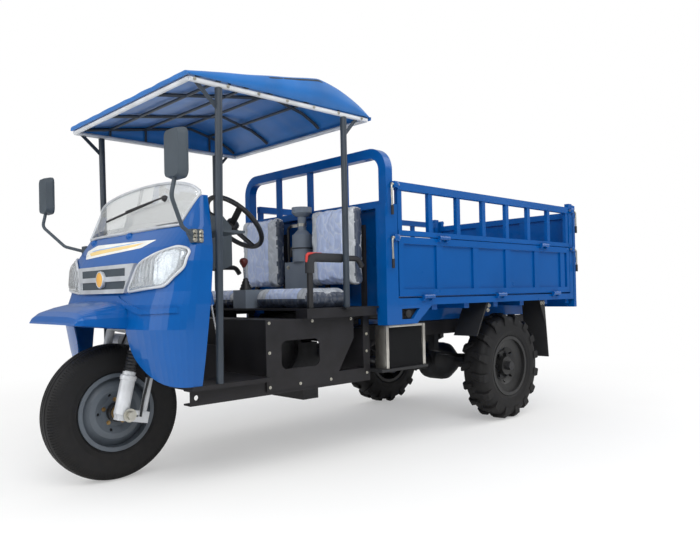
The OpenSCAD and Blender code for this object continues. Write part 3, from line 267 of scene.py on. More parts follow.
def bolt_tree():
    """Hex heads on washers at points, facing the way each point says."""
    tree, given = new_tree("Hex bolts", [("Across", "Float"), ("Material", "Material")])
    # Sizes as shares of the width across the flats
    shares = {"radius": 0.577, "height": 0.62, "washer": 0.95, "sheet": 0.16, "rise": 0.36}
    size = {}
    for part, share in shares.items():
        scaled = add(tree, "ShaderNodeMath", {1: share}, {0: given["Across"]}, operation="MULTIPLY")
        size[part] = scaled.outputs[0]
    head = add(tree, "GeometryNodeMeshCylinder", {"Vertices": 6},
               {"Radius": size["radius"], "Depth": size["height"]})
    washer = add(tree, "GeometryNodeMeshCylinder", {"Vertices": 16},
                 {"Radius": size["washer"], "Depth": size["sheet"]})
    up = add(tree, "ShaderNodeCombineXYZ", links={"Z": size["rise"]})
    raised = add(tree, "GeometryNodeTransform", links={
        "Geometry": head.outputs[0], "Translation": up.outputs[0]})
    both = add(tree, "GeometryNodeJoinGeometry")
    for part in (raised, washer):
        tree.links.new(part.outputs[0], both.inputs[0])
    facing = add(tree, "GeometryNodeInputNamedAttribute", {"Name": "facing"}, data_type="FLOAT_VECTOR")
    turn = add(tree, "FunctionNodeAlignRotationToVector", links={"Vector": facing.outputs[0]}, axis="Z")
    copies = add(tree, "GeometryNodeInstanceOnPoints", links={
        "Points": given["Geometry"], "Instance": both.outputs[0], "Rotation": turn.outputs[0]})
    return close_tree(tree, copies.outputs[0], given["Material"])


def row_tree():
    """Copies of one object in a row."""
    tree, given = new_tree("Row of pieces", [
        ("Piece", "Object"), ("Count", "Int"), ("First", "Vector"), ("Step", "Vector"),
        ("Material", "Material")])
    line = add(tree, "GeometryNodeMeshLine", links={
        "Count": given["Count"], "Start Location": given["First"], "Offset": given["Step"]})
    info = add(tree, "GeometryNodeObjectInfo", links={"Object": given["Piece"]})
    copies = add(tree, "GeometryNodeInstanceOnPoints", links={
        "Points": line.outputs[0], "Instance": info.outputs["Geometry"]})
    return close_tree(tree, copies.outputs[0], given["Material"])


def grown(tree, values, carrier=None):
    """The plain mesh that a tree makes from the given inputs."""
    holder = bpy.data.objects.new("growing", carrier or bpy.data.meshes.new("growing"))
    bpy.context.scene.collection.objects.link(holder)
    modifier = holder.modifiers.new("Nodes", "NODES")
    modifier.node_group = tree
    keys = {s.name: s.identifier for s in tree.interface.items_tree if s.in_out == "INPUT"}
    for label, value in values.items():
        modifier[keys[label]] = value
    depsgraph = bpy.context.evaluated_depsgraph_get()
    mesh = bpy.data.meshes.new_from_object(holder.evaluated_get(depsgraph))
    bpy.data.objects.remove(holder)
    return mesh


def pattern(bm, name):
    """A mesh kept out of the scene as the pattern for copies."""
    bmesh.ops.recalc_face_normals(bm, faces=bm.faces)
    mesh = bpy.data.meshes.new(name)
    bm.to_mesh(mesh)
    bm.free()
    return bpy.data.objects.new(name, mesh)


def bolts(name, places, body, finish="zinc", across=None):
    """Bolt heads at pairs of a place and the way it faces."""
    carrier = bpy.data.meshes.new(name)
    carrier.from_pydata([tuple(p) for p, _ in places], [], [])
    facing = carrier.attributes.new("facing", "FLOAT_VECTOR", "POINT")
    facing.data.foreach_set("vector", [c for _, way in places for c in way])
    size = across or bpy.context.scene.tricycle_sizes.bolt
    mesh = grown(bolt_tree(), {"Across": size, "Material": FINISHES[finish]}, carrier)
    return placed(name, mesh, finish, body, 25)


# Finishes


def start(name, base, rough, metallic=0.0, **sockets):
    """A material with its shader and the piece's own coordinates."""
    material = bpy.data.materials.new(name)
    material.use_nodes = True
    tree = material.node_tree
    shader = tree.nodes["Principled BSDF"]
    shader.inputs["Base Color"].default_value = (*base, 1)
    shader.inputs["Roughness"].default_value = rough
    shader.inputs["Metallic"].default_value = metallic
    for key, value in sockets.items():
        shader.inputs[key.replace("_", " ")].default_value = value
    place = add(tree, "ShaderNodeTexCoord").outputs["Object"]
    return material, tree, shader, place


def every(mm):
    """Texture scale at which a pattern's features are so many millimetres apart."""
    return 1000 / mm


def shaded(tree, shader, place, base, mm, low=0.8, high=1.15, detail=4.0):
    """Lets the base colour wander between a darker and a lighter tone over patches of that size."""
    cloud = add(tree, "ShaderNodeTexNoise", {"Scale": every(mm), "Detail": detail}, {"Vector": place})
    ramp = add(tree, "ShaderNodeValToRGB", links={"Fac": cloud.outputs["Fac"]})
    ends = ramp.color_ramp.elements
    ends[0].position, ends[1].position = 0.3, 0.72
    ends[0].color = (*[min(1, c * low) for c in base], 1)
    ends[1].color = (*[min(1, c * high) for c in base], 1)
    tree.links.new(ramp.outputs["Color"], shader.inputs["Base Color"])
    return cloud, ramp


def dusted(tree, shader, place, ramp, code, top, share):
    """Road dust that lies thicker towards the ground, up to a height in metres."""
    split = add(tree, "ShaderNodeSeparateXYZ", links={0: place})
    fade = add(tree, "ShaderNodeMapRange", {"From Min": top, "From Max": 0.0}, {"Value": split.outputs["Z"]})
    grit = add(tree, "ShaderNodeTexNoise", {"Scale": every(40), "Detail": 8}, {"Vector": place})
    mask = add(tree, "ShaderNodeMath", links={0: fade.outputs[0], 1: grit.outputs["Fac"]},
               operation="MULTIPLY")
    thin = add(tree, "ShaderNodeMath", {1: share}, {0: mask.outputs[0]}, operation="MULTIPLY")
    mix = add(tree, "ShaderNodeMix", {7: (*linear(code), 1)}, {0: thin.outputs[0], 6: ramp.outputs["Color"]},
              data_type="RGBA")
    tree.links.new(mix.outputs[2], shader.inputs["Base Color"])


def weathered(name, base, gloss, patches, dust, grain, metallic=0.0, **sockets):
    """A finish with clouded colour, dust, uneven gloss and a fine grain.

    gloss is the range of roughness, patches and dust go to shaded and dusted, and grain holds the
    grain's size in mm, its detail, and the bump's height in metres and strength."""
    material, tree, shader, place = start(name, base, gloss[0], metallic, **sockets)
    cloud, ramp = shaded(tree, shader, place, base, *patches)
    dusted(tree, shader, place, ramp, *dust)
    add(tree, "ShaderNodeMapRange", {"To Min": gloss[0], "To Max": gloss[1]}, {"Value": cloud.outputs["Fac"]},
        into=shader.inputs["Roughness"])
    mm, detail, height, strength = grain
    fine = add(tree, "ShaderNodeTexNoise", {"Scale": every(mm), "Detail": detail}, {"Vector": place})
    add(tree, "ShaderNodeBump", {"Distance": height, "Strength": strength}, {"Height": fine.outputs["Fac"]},
        into=shader.inputs["Normal"])
    return material


def blue_enamel(c):
    # Enamel sprayed on pressed sheet: deep gloss, a fine orange peel, slight clouding of the colour
    return weathered(
        "Blue sprayed enamel", c.blue, gloss=(0.22, 0.36), patches=(420, 0.9, 1.08),
        dust=("#5C7894", 1.0, 0.04), grain=(7, 2, 0.00012, 0.35),
        Coat_Weight=0.35, Coat_Roughness=0.05, Specular_IOR_Level=0.16)


def frame_paint(c):
    # Brushed-on black chassis paint over mill scale: satin, patchy, dusty near the ground
    return weathered(
        "Black chassis paint", c.chassis, gloss=(0.38, 0.62), patches=(90, 0.72, 1.35, 8),
        dust=("#6A5F55", 0.9, 0.1), grain=(5, 3, 0.00025, 0.4), Specular_IOR_Level=0.3)


def satin_paint(name, base, rough=0.42, metallic=0.0):
    # Satin paint on tube or pressed steel: soft highlights, small runs and scuffs
    return weathered(
        name, base, gloss=(rough - 0.1, rough + 0.12), patches=(120, 0.85, 1.15, 6),
        dust=("#8A857C", 0.8, 0.07), grain=(4, 2, 0.0001, 0.3), metallic=metallic)


def tyre_rubber(c):
    # Moulded tyre rubber: near black, dull sheen, bloom and dust in patches
    return weathered(
        "Moulded tyre rubber", c.rubber, gloss=(0.5, 0.76), patches=(70, 0.75, 1.5, 8),
        dust=("#6E665C", 0.75, 0.09), grain=(3, 4, 0.0002, 0.4), Specular_IOR_Level=0.3)


def cast_iron():
    # Sand-cast housings under dark paint: pebbled, dull, oily in places
    return weathered(
        "Painted cast iron", linear("#2A2B2E"), gloss=(0.35, 0.75), patches=(60, 0.6, 1.5, 8),
        dust=("#5C5148", 0.8, 0.12), grain=(2.5, 4, 0.0005, 0.6), metallic=0.3)


def bare_metal(name, code, rough, grain_mm=2.0, low=0.8):
    # Bare or plated metal: fine drawn grain along its length, hazy patches
    base = linear(code)
    material, tree, shader, place = start(name, base, rough, 1.0)
    shaded(tree, shader, place, base, 60, low, 1.08, 6)
    stretch = add(tree, "ShaderNodeMapping", {"Scale": (0.06, 1, 1)}, {"Vector": place})
    grain = add(tree, "ShaderNodeTexNoise", {"Scale": every(grain_mm), "Detail": 3},
                {"Vector": stretch.outputs[0]})
    add(tree, "ShaderNodeMapRange", {"To Min": rough * 0.75, "To Max": min(1, rough * 1.35)},
        {"Value": grain.outputs["Fac"]}, into=shader.inputs["Roughness"])
    add(tree, "ShaderNodeBump", {"Distance": 5e-05, "Strength": 0.3}, {"Height": grain.outputs["Fac"]},
        into=shader.inputs["Normal"])
    return material


def grained_plastic(name, base, rough=0.55):
    # Moulded polypropylene: leather-like grain from the mould, dull, slightly chalky
    material, tree, shader, place = start(name, base, rough)
    shaded(tree, shader, place, base, 160, 0.88, 1.12)
    # Real grain is about 1 mm; drawn at 3 mm so that it shows
    cells = add(tree, "ShaderNodeTexVoronoi", {"Scale": every(3)}, {"Vector": place})
    add(tree, "ShaderNodeBump", {"Distance": 0.00025, "Strength": 0.5}, {"Height": cells.outputs["Distance"]},
        into=shader.inputs["Normal"])
    return material


def seat_cover(c):
    # Woven seat cover under loose clear film: the film's creases catch the light on top of the cloth
    material, tree, shader, place = start(
        "Woven cloth under clear film", c.seat_light, 0.6, Coat_Weight=1.0, Coat_Roughness=0.1)
    panel = add(tree, "ShaderNodeAttribute", attribute_name="panel")
    ramp = add(tree, "ShaderNodeValToRGB", links={"Fac": panel.outputs["Fac"]})
    ends = ramp.color_ramp
    ends.interpolation = "CONSTANT"
    ends.elements[0].color = (*c.seat_light, 1)
    ends.elements[1].position, ends.elements[1].color = 0.7, (*c.seat_dark, 1)
    ends.elements.new(0.35).color = (*c.seat_grey, 1)
    # Pale lines along the film's folds: partly the milky whitening where the film is folded sharply, partly
    # painted highlights of its creases
    warp = add(tree, "ShaderNodeTexNoise", {"Scale": every(140), "Detail": 2}, {"Vector": place})
    bent = add(tree, "ShaderNodeVectorMath", {1: (0.09, 0.09, 0.09)}, {0: warp.outputs["Color"], 2: place},
               operation="MULTIPLY_ADD")
    slant = add(tree, "ShaderNodeMapping", {"Rotation": (0.6, 0, 0.3), "Scale": (1, 1, 0.4)},
                {"Vector": bent.outputs[0]})
    folds = add(tree, "ShaderNodeTexVoronoi", {"Scale": every(42)}, {"Vector": slant.outputs[0]},
                feature="DISTANCE_TO_EDGE")
    line = add(tree, "ShaderNodeMapRange", {"From Max": 0.1, "To Min": 0.42, "To Max": 0.0},
               {"Value": folds.outputs["Distance"]})
    light = add(tree, "ShaderNodeMapRange", {"From Min": 0.1, "From Max": 0.9, "To Min": 1.0, "To Max": 0.12},
                {"Value": panel.outputs["Fac"]})
    share = add(tree, "ShaderNodeMath", links={0: line.outputs[0], 1: light.outputs[0]}, operation="MULTIPLY")
    milky_and_highlight_lines = add(tree, "ShaderNodeMix", {7: (*linear("#E8ECF2"), 1)},
                {0: share.outputs[0], 6: ramp.outputs[0]}, data_type="RGBA")
    tree.links.new(milky_and_highlight_lines.outputs[2], shader.inputs["Base Color"])
    crease = add(tree, "ShaderNodeBump", {"Distance": 0.01, "Strength": 0.7},
                 {"Height": folds.outputs["Distance"]}, into=shader.inputs["Coat Normal"])
    # Weave drawn at 4 mm so that it shows
    weave = add(tree, "ShaderNodeTexWave", {"Scale": every(4) / math.tau, "Distortion": 1.5},
                {"Vector": place})
    add(tree, "ShaderNodeBump", {"Distance": 0.0003, "Strength": 0.3},
        {"Height": weave.outputs["Fac"], "Normal": crease.outputs[0]}, into=shader.inputs["Normal"])
    return material


def tarpaulin(c):
    # Coated polyester tarpaulin: plain weave under a plastic skin, soft gloss, streaks of wear
    material, tree, shader, place = start("Blue tarpaulin", c.cloth, 0.42, Sheen_Weight=0.15)
    cloud, _ = shaded(tree, shader, place, c.cloth, 190, 0.85, 1.12, 5)
    add(tree, "ShaderNodeMapRange", {"To Min": 0.34, "To Max": 0.52}, {"Value": cloud.outputs["Fac"]},
        into=shader.inputs["Roughness"])
    # Weave of about 1.5 mm drawn at 5 mm so that it shows
    thread = every(5) / math.tau
    warp = add(tree, "ShaderNodeTexWave", {"Scale": thread}, {"Vector": place}, bands_direction="X")
    weft = add(tree, "ShaderNodeTexWave", {"Scale": thread}, {"Vector": place}, bands_direction="Y")
    both = add(tree, "ShaderNodeMath", links={0: warp.outputs["Fac"], 1: weft.outputs["Fac"]},
               operation="MULTIPLY")
    add(tree, "ShaderNodeBump", {"Distance": 0.0002, "Strength": 0.3}, {"Height": both.outputs[0]},
        into=shader.inputs["Normal"])
    return material


def clear(name, code, rough=0.03, weight=1.0, alpha=1.0):
    # Clear sheet or moulding: bright reflections, faint ripple
    material, tree, shader, place = start(
        name, linear(code), rough, Transmission_Weight=weight, IOR=1.5, Alpha=alpha)
    wave = add(tree, "ShaderNodeTexNoise", {"Scale": every(90), "Detail": 1}, {"Vector": place})
    add(tree, "ShaderNodeBump", {"Distance": 0.0004, "Strength": 0.15}, {"Height": wave.outputs["Fac"]},
        into=shader.inputs["Normal"])
    return material


def fluted_lens():
    # Moulded lamp lens: clear plastic with optic flutes on its inner face
    material, tree, shader, place = start(
        "Fluted lamp lens", linear("#F4F6F8"), 0.05, Transmission_Weight=0.9, IOR=1.49)
    flutes = add(tree, "ShaderNodeTexWave", {"Scale": every(14) / math.tau, "Distortion": 0.6},
                 {"Vector": place}, bands_direction="Y")
    add(tree, "ShaderNodeBump", {"Distance": 0.0015, "Strength": 0.7}, {"Height": flutes.outputs["Fac"]},
        into=shader.inputs["Normal"])
    return material


def make_finishes(c):
    """Fills the table of finishes, by the name that the pieces ask for."""
    FINISHES.update({
        "blue": blue_enamel(c),
        "frame": frame_paint(c),
        "slate": satin_paint("Slate satin paint", c.slate),
        "rim": satin_paint("Grey wheel paint", c.rim, 0.45),
        "wheel_black": satin_paint("Black wheel paint", linear("#1B1C1E"), 0.48),
        "silver": satin_paint("Silver fork paint", c.silver, 0.4, 0.2),
        "iron": cast_iron(),
        "spring": bare_metal("Rolled spring steel", "#3E3F42", 0.5),
        "bright": bare_metal("Ground steel rod", "#B9BCC1", 0.22),
        "zinc": bare_metal("Zinc-plated steel", "#C3C1B8", 0.34),
        "brass": bare_metal("Yellow passivated steel", "#9C8258", 0.38),
        "aluminium": bare_metal("Extruded aluminium", "#C9C6BF", 0.4),
        "rubber": tyre_rubber(c),
        "flap": grained_plastic("Sheet rubber", linear("#1E1F21"), 0.7),
        "seat": seat_cover(c),
        "cloth": tarpaulin(c),
        "plastic": grained_plastic("Slate moulded plastic", c.plastic),
        "black": grained_plastic("Black moulded plastic", linear("#1A1B1E"), 0.5),
        "knob": grained_plastic("Red-brown knob plastic", linear("#5A1F1B"), 0.35),
        "reflector": bare_metal("Silvered reflector", "#C4CACF", 0.26, 5.0, low=0.7),
        "trim": satin_paint("Silver trim plastic", linear("#C6CACF"), 0.34, 0.25),
        "mirror": bare_metal("Silvered glass", "#E8ECEF", 0.02, low=0.98),
        "glass": clear("Clear screen sheet", "#E6F0F2", alpha=0.45),
        "lens": fluted_lens(),
        "fins": grained_plastic("Black radiator fins", linear("#1F2023"), 0.6),
        "red": clear("Red lens plastic", "#B01020", 0.2, weight=0.25),
        "amber": clear("Amber lens plastic", "#E08A1C", 0.2, weight=0.25),
        "white_vinyl": grained_plastic("White vinyl", linear("#EDEDE8"), 0.35),
        "yellow_vinyl": grained_plastic("Yellow vinyl", linear("#F0CF86"), 0.35),
        "sky_vinyl": grained_plastic("Pale blue vinyl", linear("#8FB4E4"), 0.35),
        "badge": grained_plastic("Amber badge enamel", linear("#EFB457"), 0.25),
        "red_paint": satin_paint("Red ring paint", linear("#A8242A"), 0.4),
        "grip": grained_plastic("Blue grip rubber", linear("#1C62B2"), 0.5),
        "cover": grained_plastic("Grey moulded plastic", linear("#78828E"), 0.5),
        "foam": grained_plastic("Dark foam sleeve", linear("#26282C"), 0.75),
        "stripe": grained_plastic("Red foam stripe", linear("#C23B36"), 0.6),
    })


SLOT_FINISH = {
    "frame_steel": "frame", "blue_paint": "blue", "slate_paint": "slate", "rim_paint": "rim",
    "black_paint": "wheel_black", "silver_paint": "silver", "engine_iron": "iron", "spring_steel": "spring",
    "bright_steel": "bright", "tyre_rubber": "rubber", "seat_fabric": "seat", "canopy_cloth": "cloth",
    "black_plastic": "black", "slate_plastic": "plastic", "grille_trim": "trim", "lamp_lens": "lens",
    "screen_glass": "glass", "radiator_metal": "fins", "flap_rubber": "flap", "tail_lens": "red",
}
# Nodes with a paler plastic than the rest of their slot
NODE_FINISH = {"air_cleaner": "cover", "centre_cover": "cover"}


class TRICYCLE_OT_finishes(bpy.types.Operator):
    """Makes the finishes and paints every CAD node with the one that its slot names"""
    bl_idname = "tricycle.finishes"
    bl_label = "Paint the solids"

    def execute(self, context):
        make_finishes(context.scene.tricycle_colours)
        for row in frame["record"]["subparts"]:
            node = frame["nodes"][row["node"]]
            paint = FINISHES[NODE_FINISH.get(row["node"], SLOT_FINISH[row["material_slot"]])]
            if not node.material_slots:
                node.data.materials.append(paint)
            for held in node.material_slots:
                held.material = paint
        return {"FINISHED"}


# Seats

# Shares of a seat's half width at which the seam runs and the dark side starts
SEAM_AT, SIDE_AT = 0.56, 0.87
SEAM_DEPTH, SEAM_WIDTH = 0.007, 0.007
# Values of the faces' panel attribute, one for each colour of the seat cover's ramp
PALE, GREY, DARK = 0.1, 0.5, 0.9


def seat_pad(name, low, high, bevel, cap):
    """A stuffed block: rounded, remeshed, blown up as cloth and held within a cap."""
    bm = bmesh.new()
    inset = Vector((cap, cap, cap)) * 0.7
    slab(bm, low + inset, high - inset, bevel)
    mesh = bpy.data.meshes.new(name)
    bm.to_mesh(mesh)
    bm.free()
    pad = bpy.data.objects.new(name, mesh)
    bpy.context.scene.collection.objects.link(pad)
    voxels = pad.modifiers.new("Remesh", "REMESH")
    voxels.mode = "VOXEL"
    voxels.voxel_size = 0.008
    depsgraph = bpy.context.evaluated_depsgraph_get()
    pad.data = bpy.data.meshes.new_from_object(pad.evaluated_get(depsgraph))
    pad.modifiers.clear()
    blow_up(pad, cap)
    return pad


def blow_up(pad, cap, frames=16):
    """Swells a closed mesh by cloth pressure, no point further than the cap."""
    rest = [v.co.copy() for v in pad.data.vertices]
    cloth = pad.modifiers.new("Cloth", "CLOTH")
    cloth.settings.use_pressure = True
    cloth.settings.uniform_pressure_force = 4.0
    cloth.settings.effector_weights.gravity = 0
    cloth.point_cache.frame_start, cloth.point_cache.frame_end = 1, frames
    scene = bpy.context.scene
    for step in range(1, frames + 1):
        scene.frame_set(step)
    depsgraph = bpy.context.evaluated_depsgraph_get()
    pad.data = bpy.data.meshes.new_from_object(pad.evaluated_get(depsgraph))
    pad.modifiers.clear()
    for vertex, home in zip(pad.data.vertices, rest):
        move = vertex.co - home
        if move.length > cap:
            vertex.co = home + move * (cap / move.length)
    scene.frame_set(1)


def dress_pad(pad, panel_of, seam_depth, crinkle, low, high):
    """Pulls in the seams, creases the film and marks each face's panel."""
    mesh = pad.data
    shift = []
    for vertex in mesh.vertices:
        p = vertex.co
        fold = abs(noise.noise(p * 13)) + 0.5 * abs(noise.noise(p * 37))
        depth = crinkle * (1 - 2.4 * fold) - seam_depth(p)
        shift.append(p + vertex.normal * depth)
    for vertex, place in zip(mesh.vertices, shift):
        vertex.co = [min(max(a, b), c) for a, b, c in zip(place, low, high)]
    panel = mesh.attributes.new("panel", "FLOAT", "FACE")
    panel.data.foreach_set("value", [panel_of(f.center) for f in mesh.polygons])


class TRICYCLE_OT_seats(bpy.types.Operator):
    """Stuffs the two seat cushions and the two backs under their clear film"""
    bl_idname = "tricycle.seats"
    bl_label = "Make the seats"

    def execute(self, context):
        for side, _ in SIDES:
            for part in ("cushion", "back"):
                self.make_pad(part, side, context.scene.tricycle_sizes.crinkle)
        return {"FINISHED"}

    def make_pad(self, part, side, crinkle):
        """Makes one cushion or back in place of its plain solid."""
        node = f"seat_{part}_{side}"
        low, high = (Vector(v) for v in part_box(node))
        middle, half = (low.y + high.y) / 2, (high.y - low.y) / 2
        rear, skirt = low.x + 0.022, (low.z + high.z) / 2

        def seam(p):
            across = abs(p.y - middle) / half
            return SEAM_DEPTH * math.exp(-((across - SEAM_AT) * half / SEAM_WIDTH) ** 2)

        def panel(p):
            across = abs(p.y - middle) / half
            turned_away = p.x < rear if part == "back" else p.z < skirt
            if across > SIDE_AT or turned_away:
                return DARK
            return GREY if across > SEAM_AT else PALE

        pad = seat_pad(f"padded_{part}_{side}", low, high, 0.028, 0.014)
        room, base = Vector((0.006, 0.006, 0.006)), Vector((0.001, 0.006, 0.001))
        dress_pad(pad, panel, seam, crinkle, low - base, high + room)
        mesh, name = pad.data, pad.name
        bpy.data.objects.remove(pad)
        piece = placed(name, mesh, "seat", "chassis", 60)
        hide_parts(node)


# Canopy

# Metres: the rail and the hem over the foot of the cover, and the nose over the rail
RAIL_RISE, HEM_RISE, NOSE_RISE = 0.008, 0.022, 0.032
PEAK_X = 1700
BAYS = 5


def canopy_profile(low, high):
    """Side view of the cloth, from its front hem over the peak to its rear hem."""
    front, rear, crown = high[0], low[0], high[2]
    peak = at(PEAK_X, 0, 0).x
    rail, hem = low[2] + RAIL_RISE, low[2] + HEM_RISE
    nose = rail + NOSE_RISE

    def top(x):
        if x >= peak:
            return nose + (crown - nose) * (front - x) / (front - peak)
        share = (peak - x) / (peak - rear)
        return rail + (crown - rail) * max(0, 1 - share ** 1.5) ** (1 / 1.5)

    out = [(front - 0.024, hem), (front - 0.004, hem - 0.001), (front, hem + 0.012)]
    steps, even = 110, 0.6
    for k in range(steps + 1):
        share = k / steps
        # Points draw together where the cloth turns down at the rear
        if share >= even:
            share = even + (1 - even) * math.sin((share - even) / (1 - even) * math.pi / 2)
        x = front - (front - rear) * share
        out.append((x, top(x)))
    out += [(rear, hem + 0.004), (rear + 0.006, hem - 0.001), (rear + 0.026, hem)]
    return [Vector((x, 0, z)) for x, z in out]


def canopy_across(half, corner, count=46, flat=0.72):
    """Offsets from side to side, closer together in the rounded corners."""
    inner = half - corner
    out = []
    for k in range(-count, count + 1):
        share = abs(k) / count
        if share > flat:
            reach = inner + corner * min(1, (share - flat) / (1 - flat))
        else:
            reach = share / flat * inner
        out.append(math.copysign(reach, k))
    return out


class TRICYCLE_OT_canopy(bpy.types.Operator):
    """Stretches the tarpaulin over the canopy's bars"""
    bl_idname = "tricycle.canopy"
    bl_label = "Stretch the canopy"

    def execute(self, context):
        sizes = context.scene.tricycle_sizes
        low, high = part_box("canopy_cover")
        rear, half, corner = low[0], high[1], 0.035
        rail, hem = low[2] + RAIL_RISE, low[2] + HEM_RISE
        bay = (high[0] - rear) / BAYS
        profile = canopy_profile(low, high)
        across = canopy_across(half, corner)
        bm = bmesh.new()
        rows = []
        for p in profile:
            base = min(hem, p.z)
            sag = math.sin(math.pi * ((p.x - rear) % bay) / bay) ** 2
            row = []
            for y in across:
                into = max(0, (abs(y) - (half - corner)) / corner)
                lift = max(0, 1 - into ** 3) ** (1 / 3)
                z = base + (p.z - base) * lift
                if p.z > rail + 0.02 and lift > 0.2:
                    slack = sag * (1 - (abs(y) / half) ** 4) * sizes.cloth_sag
                    pull = noise.noise(Vector((p.x * 4, y * 13, 1.7))) * 0.0035
                    z += (pull - slack) * lift
                drape = noise.noise(Vector((p.x * 11, z * 5, math.copysign(3, y)))) * 0.004 * into
                row.append(bm.verts.new((p.x, y - math.copysign(abs(drape), y), z)))
            rows.append(row)
        skin(bm, rows, False)
        bmesh.ops.recalc_face_normals(bm, faces=bm.faces)
        if sum(f.normal.z for f in bm.faces) < 0:
            bmesh.ops.reverse_faces(bm, faces=bm.faces)
        area = sum(f.calc_area() for f in bm.faces)
        cloth = finished("canopy_cloth", bm, "cloth", "chassis", 50, merge=False)
        thick = cloth.modifiers.new("Thickness", "SOLIDIFY")
        thick.thickness, thick.offset = sizes.cloth_thick, -1
        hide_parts("canopy_cover")
        return {"FINISHED"}


# Laying pieces on the solids


def surface(node):
    """A solid's faces, ready to be looked up along a line of sight."""
    solid = frame["nodes"][node]
    return BVHTree.FromPolygons([solid.matrix_world @ v.co for v in solid.data.vertices],
                                [tuple(p.vertices) for p in solid.data.polygons])


def on_face(tree, y, z, proud):
    """The place on a front face at a width and height in mm, so many mm proud of it."""
    for inset in range(0, 80, 4):
        hit, normal, _, _ = tree.ray_cast(at(3400, y - math.copysign(inset, y), z), Vector((-1, 0, 0)))
        if hit:
            return hit + normal * proud / 1000
    raise ValueError(f"no front face at width {y:.0f} mm and height {z:.0f} mm")


def loop(corners, radius, gap=24):
    """A closed outline with rounded corners and points set evenly along it."""
    points = [Vector((*c, 0)) for c in corners]
    seam = (points[-1] + points[0]) / 2
    path = bend([seam, *points, seam], radius)
    out = []
    for a, b in zip(path, path[1:]):
        steps = max(1, round((b - a).length / gap))
        out += [a.lerp(b, k / steps).to_2d() for k in range(steps)]
    return out


def patch(bm, outline, lay, rings=8):
    """A sheet inside an outline. lay gives the place from two sizes and the share of the way to the edge."""
    middle = sum(outline, Vector((0, 0))) / len(outline)
    hub = bm.verts.new(lay(*middle, 0.0))
    loops = []
    for k in range(1, rings + 1):
        share = k / rings
        loops.append([bm.verts.new(lay(*middle.lerp(p, share), share)) for p in outline])
    for a, b in zip(loops[0], loops[0][1:] + loops[0][:1]):
        bm.faces.new((hub, a, b))
    skin(bm, loops, True)


def ring(tree, piece, count, start, hub, finish):
    """The mesh of copies of a piece set round a hub."""
    return grown(tree, {
        "Piece": piece, "Count": count, "Start": start, "Hub": hub, "Material": FINISHES[finish]})


# Tyres

# Columns: radius, width, bead radius, bead width and radius of the rim's flange, in metres
FRONT_TYRE = (0.330, 0.150, 0.1764, 0.1072, 0.190)
REAR_TYRE = (0.345, 0.178, 0.1904, 0.1352, 0.205)
# How square the crown is
CROWN_POWER = 0.62
SIPE_COUNT, LUG_COUNT, LUG_BEVEL = 150, 16, 6
# Columns: offset, inner radius, outer radius, lead and width of a lug, in mm
LUG = (
    (4, 333, 363, 0, 34),
    (36, 331, 361, 10, 40),
    (68, 329, 358, 20, 46),
    (84, 296, 343, 23, 50),
    (92, 283, 337, 24, 52),
)


def crown_radius(offset, tyre):
    """Radius of a tyre's outer face at an offset from its middle."""
    radius, width, bead_r, _, _ = tyre
    wide = (bead_r + radius) / 2
    a = math.asin(min(1, abs(offset) / (width / 2)) ** (1 / CROWN_POWER))
    return wide + (radius - wide) * math.cos(a) ** CROWN_POWER


def wall(tyre, side):
    """Profile of one side wall from its widest place down to the bead, with two raised lines."""
    radius, width, bead_r, bead_w, flange_r = tyre
    wide = (bead_r + radius) / 2
    out = []
    for k in range(0, 91, 6):
        a = math.radians(k)
        line = 0.0016 if k in (24, 54) else 0
        bulge = bead_w / 2 + (width - bead_w) / 2 * math.cos(a) + line
        out.append((wide - (wide - flange_r) * math.sin(a), side * bulge))
    return out + [(bead_r, side * bead_w / 2)]


def turned_tyre(name, tyre, crown, hub, body):
    """A tyre turned from its crown and its two walls."""
    bm = bmesh.new()
    lathe(bm, [*reversed(wall(tyre, -1)), *crown, *wall(tyre, 1)], hub, 120)
    return finished(name, bm, "rubber", body, 40)


class TRICYCLE_OT_front_tyre(bpy.types.Operator):
    """Turns the grooved front tyre and sets the sipes round its shoulders"""
    bl_idname = "tricycle.front_tyre"
    bl_label = "Make the front tyre"

    def execute(self, context):
        groove = context.scene.tricycle_sizes.groove
        # Middles and half width of the grooves, start of the shoulders and how far they lie back
        middles, half_groove, shoulder, step = (-0.027, 0, 0.027), 0.0031, 0.047, 0.005
        crown = []
        for mm in range(-74, 75, 2):
            y = mm / 1000
            cut = groove if min(abs(y - g) for g in middles) < half_groove else 0.0
            cut = step if abs(y) > shoulder else cut
            crown.append((crown_radius(y, FRONT_TYRE) - cut, y))
        hub = at(*FRONT_AXLE)
        tyre = turned_tyre("front_tyre_body", FRONT_TYRE, crown, hub, "front_wheel")
        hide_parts("front_tyre")
        half, root = 0.0043, 0.008
        bm = bmesh.new()
        for side in (1, -1):
            rings = []
            for y in (0.046, 0.053, 0.060, 0.066, 0.071, 0.0735):
                outer = crown_radius(y, FRONT_TYRE)
                section = ((-half, outer - root), (-half, outer), (half, outer), (half, outer - root))
                rings.append([bm.verts.new((u, side * y, v)) for u, v in section])
            capped(bm, rings)
        sipes = ring(wheel_ring_tree(), pattern(bm, "shoulder_block"), SIPE_COUNT, 0.0, hub, "rubber")
        placed("front_tyre_shoulders", sipes, "rubber", "front_wheel")
        return {"FINISHED"}


